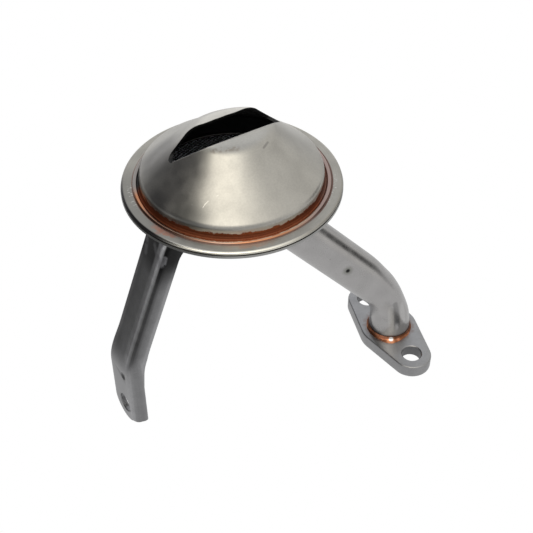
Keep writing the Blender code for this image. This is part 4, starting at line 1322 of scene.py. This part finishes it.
def build_camera():
    data = bpy.data.cameras.new("camera")
    data.lens = CAMERA_LENS
    data.sensor_width = CAMERA_SENSOR
    data.clip_start = CAMERA_NEAR
    data.clip_end = CAMERA_FAR
    camera = bpy.data.objects.new("camera", data)
    camera.location = CAMERA_PLACE
    camera.rotation_euler = (CAMERA_TILT, 0.0, CAMERA_HEADING)
    bpy.context.scene.collection.objects.link(camera)
    bpy.context.scene.camera = camera


def toward(bearing, elevation):
    """Direction from the object. The bearing is 0 towards the camera and grows to the camera's left."""
    turn = CAMERA_HEADING - math.pi / 2 - math.radians(bearing)
    rise = math.radians(elevation)
    return Vector((math.cos(turn) * math.cos(rise), math.sin(turn) * math.cos(rise), math.sin(rise)))


# Soft boxes and dark screens round the object: bearing, elevation, inner and outer half angle, light
STUDIO = (
    (0.0, -90.0, 60.0, 92.0, (0.45, 0.45, 0.45)),
    (180.0, 44.0, 22.0, 60.0, (0.70, 0.71, 0.73)),
    (-35.0, 58.0, 8.0, 40.0, (1.25, 1.22, 1.15)),
    (-100.0, 28.0, 26.0, 56.0, (0.70, 0.69, 0.67)),
    (180.0, 6.0, 8.0, 30.0, (1.35, 1.35, 1.35)),
    (92.0, 28.0, 26.0, 50.0, (0.05, 0.05, 0.055)),
    (148.0, 0.0, 8.0, 30.0, (0.85, 0.85, 0.86)),
    (-107.0, 2.0, 4.0, 18.0, (0.05, 0.05, 0.05)),
    (16.0, 54.0, 6.0, 32.0, (1.95, 1.87, 1.70)))
STUDIO_FILL = (0.5, 0.5, 0.5)


def build_light():
    """Studio light from the world. The camera sees plain white there."""
    world = bpy.data.worlds.new("studio")
    bpy.context.scene.world = world
    world.use_nodes = True
    tree = Nodes(world.node_tree)
    way = tree.add("TexCoord").outputs["Generated"]
    light = STUDIO_FILL
    for bearing, elevation, inner, outer, colour in STUDIO:
        nearness = tree.vector("DOT_PRODUCT", way, toward(bearing, elevation))
        box = tree.fade(nearness, math.cos(math.radians(outer)), math.cos(math.radians(inner)))
        light = tree.mixed(box, light, colour)
    seen = tree.add("LightPath").outputs["Is Camera Ray"]
    tree.feed(tree.nodes["Background"].inputs["Color"], tree.mixed(seen, light, (1.0, 1.0, 1.0)))


FLOOR_RADIUS = 0.5
FLOOR_DROP = 0.0002
FLOOR_LIGHT = 0.62
FLOOR_DARK = 0.12
FLOOR_DARK_SIDE = 70.0
FLOOR_DARK_START = 0.085
FLOOR_DARK_END = 0.13


def build_floor():
    """Glowing white table: plain white to the camera. It throws less light back at the object from the dark screen's
    side.
    """
    builder = bmesh.new()
    bmesh.ops.create_circle(builder, cap_ends=True, segments=96, radius=FLOOR_RADIUS)
    mesh = bpy.data.meshes.new("floor")
    builder.to_mesh(mesh)
    builder.free()
    floor = bpy.data.objects.new("floor", mesh)
    bpy.context.scene.collection.objects.link(floor)
    floor.location.z = -FLOOR_DROP

    material = bpy.data.materials.new("floor")
    material.use_nodes = True
    tree = Nodes(material.node_tree)
    tree.nodes.remove(tree.nodes["Principled BSDF"])
    along = tree.vector("DOT_PRODUCT", tree.add("TexCoord").outputs["Object"], toward(FLOOR_DARK_SIDE, 0.0))
    light = tree.fade(along, FLOOR_DARK_START, FLOOR_DARK_END, FLOOR_LIGHT, FLOOR_DARK)
    seen = tree.add("LightPath").outputs["Is Camera Ray"]
    glow = tree.add("Emission")
    tree.feed(glow.inputs["Strength"], tree.mixed(seen, light, 1.0, "FLOAT"))
    tree.feed(tree.nodes["Material Output"].inputs["Surface"], glow.outputs[0])
    mesh.materials.append(material)


def main():
    build_camera()
    build_light()
    build_floor()
    bpy.context.scene.view_settings.view_transform = "Standard"

    copper = braze_look()
    build_cover(
        cover_look(),
        # Nearly black inside and cut faces of the cover: painted shade
        plain_look("inside_painted_shade", (0.02, 0.02, 0.022), 0.5),
        plain_look("edge_painted_shade", (0.04, 0.04, 0.04), 0.5),
        plain_look("burr_steel", (0.62, 0.61, 0.58), 0.35))
    build_rim(rim_look())
    build_body(plain_look("body_steel", (0.42, 0.42, 0.41), 0.36))
    build_clamp_ring(plain_look("ring_steel", (0.10, 0.10, 0.10), 0.4))
    build_screen(plain_look("screen_wire", (0.80, 0.82, 0.88), 0.35))
    build_cover_brazing(groove_look())
    build_tube(tube_look())
    build_flange(flange_look())
    build_flange_brazing(copper)
    build_tube_brazing(copper)
    build_bracket(bracket_look())
    build_bracket_brazing(copper)


main()
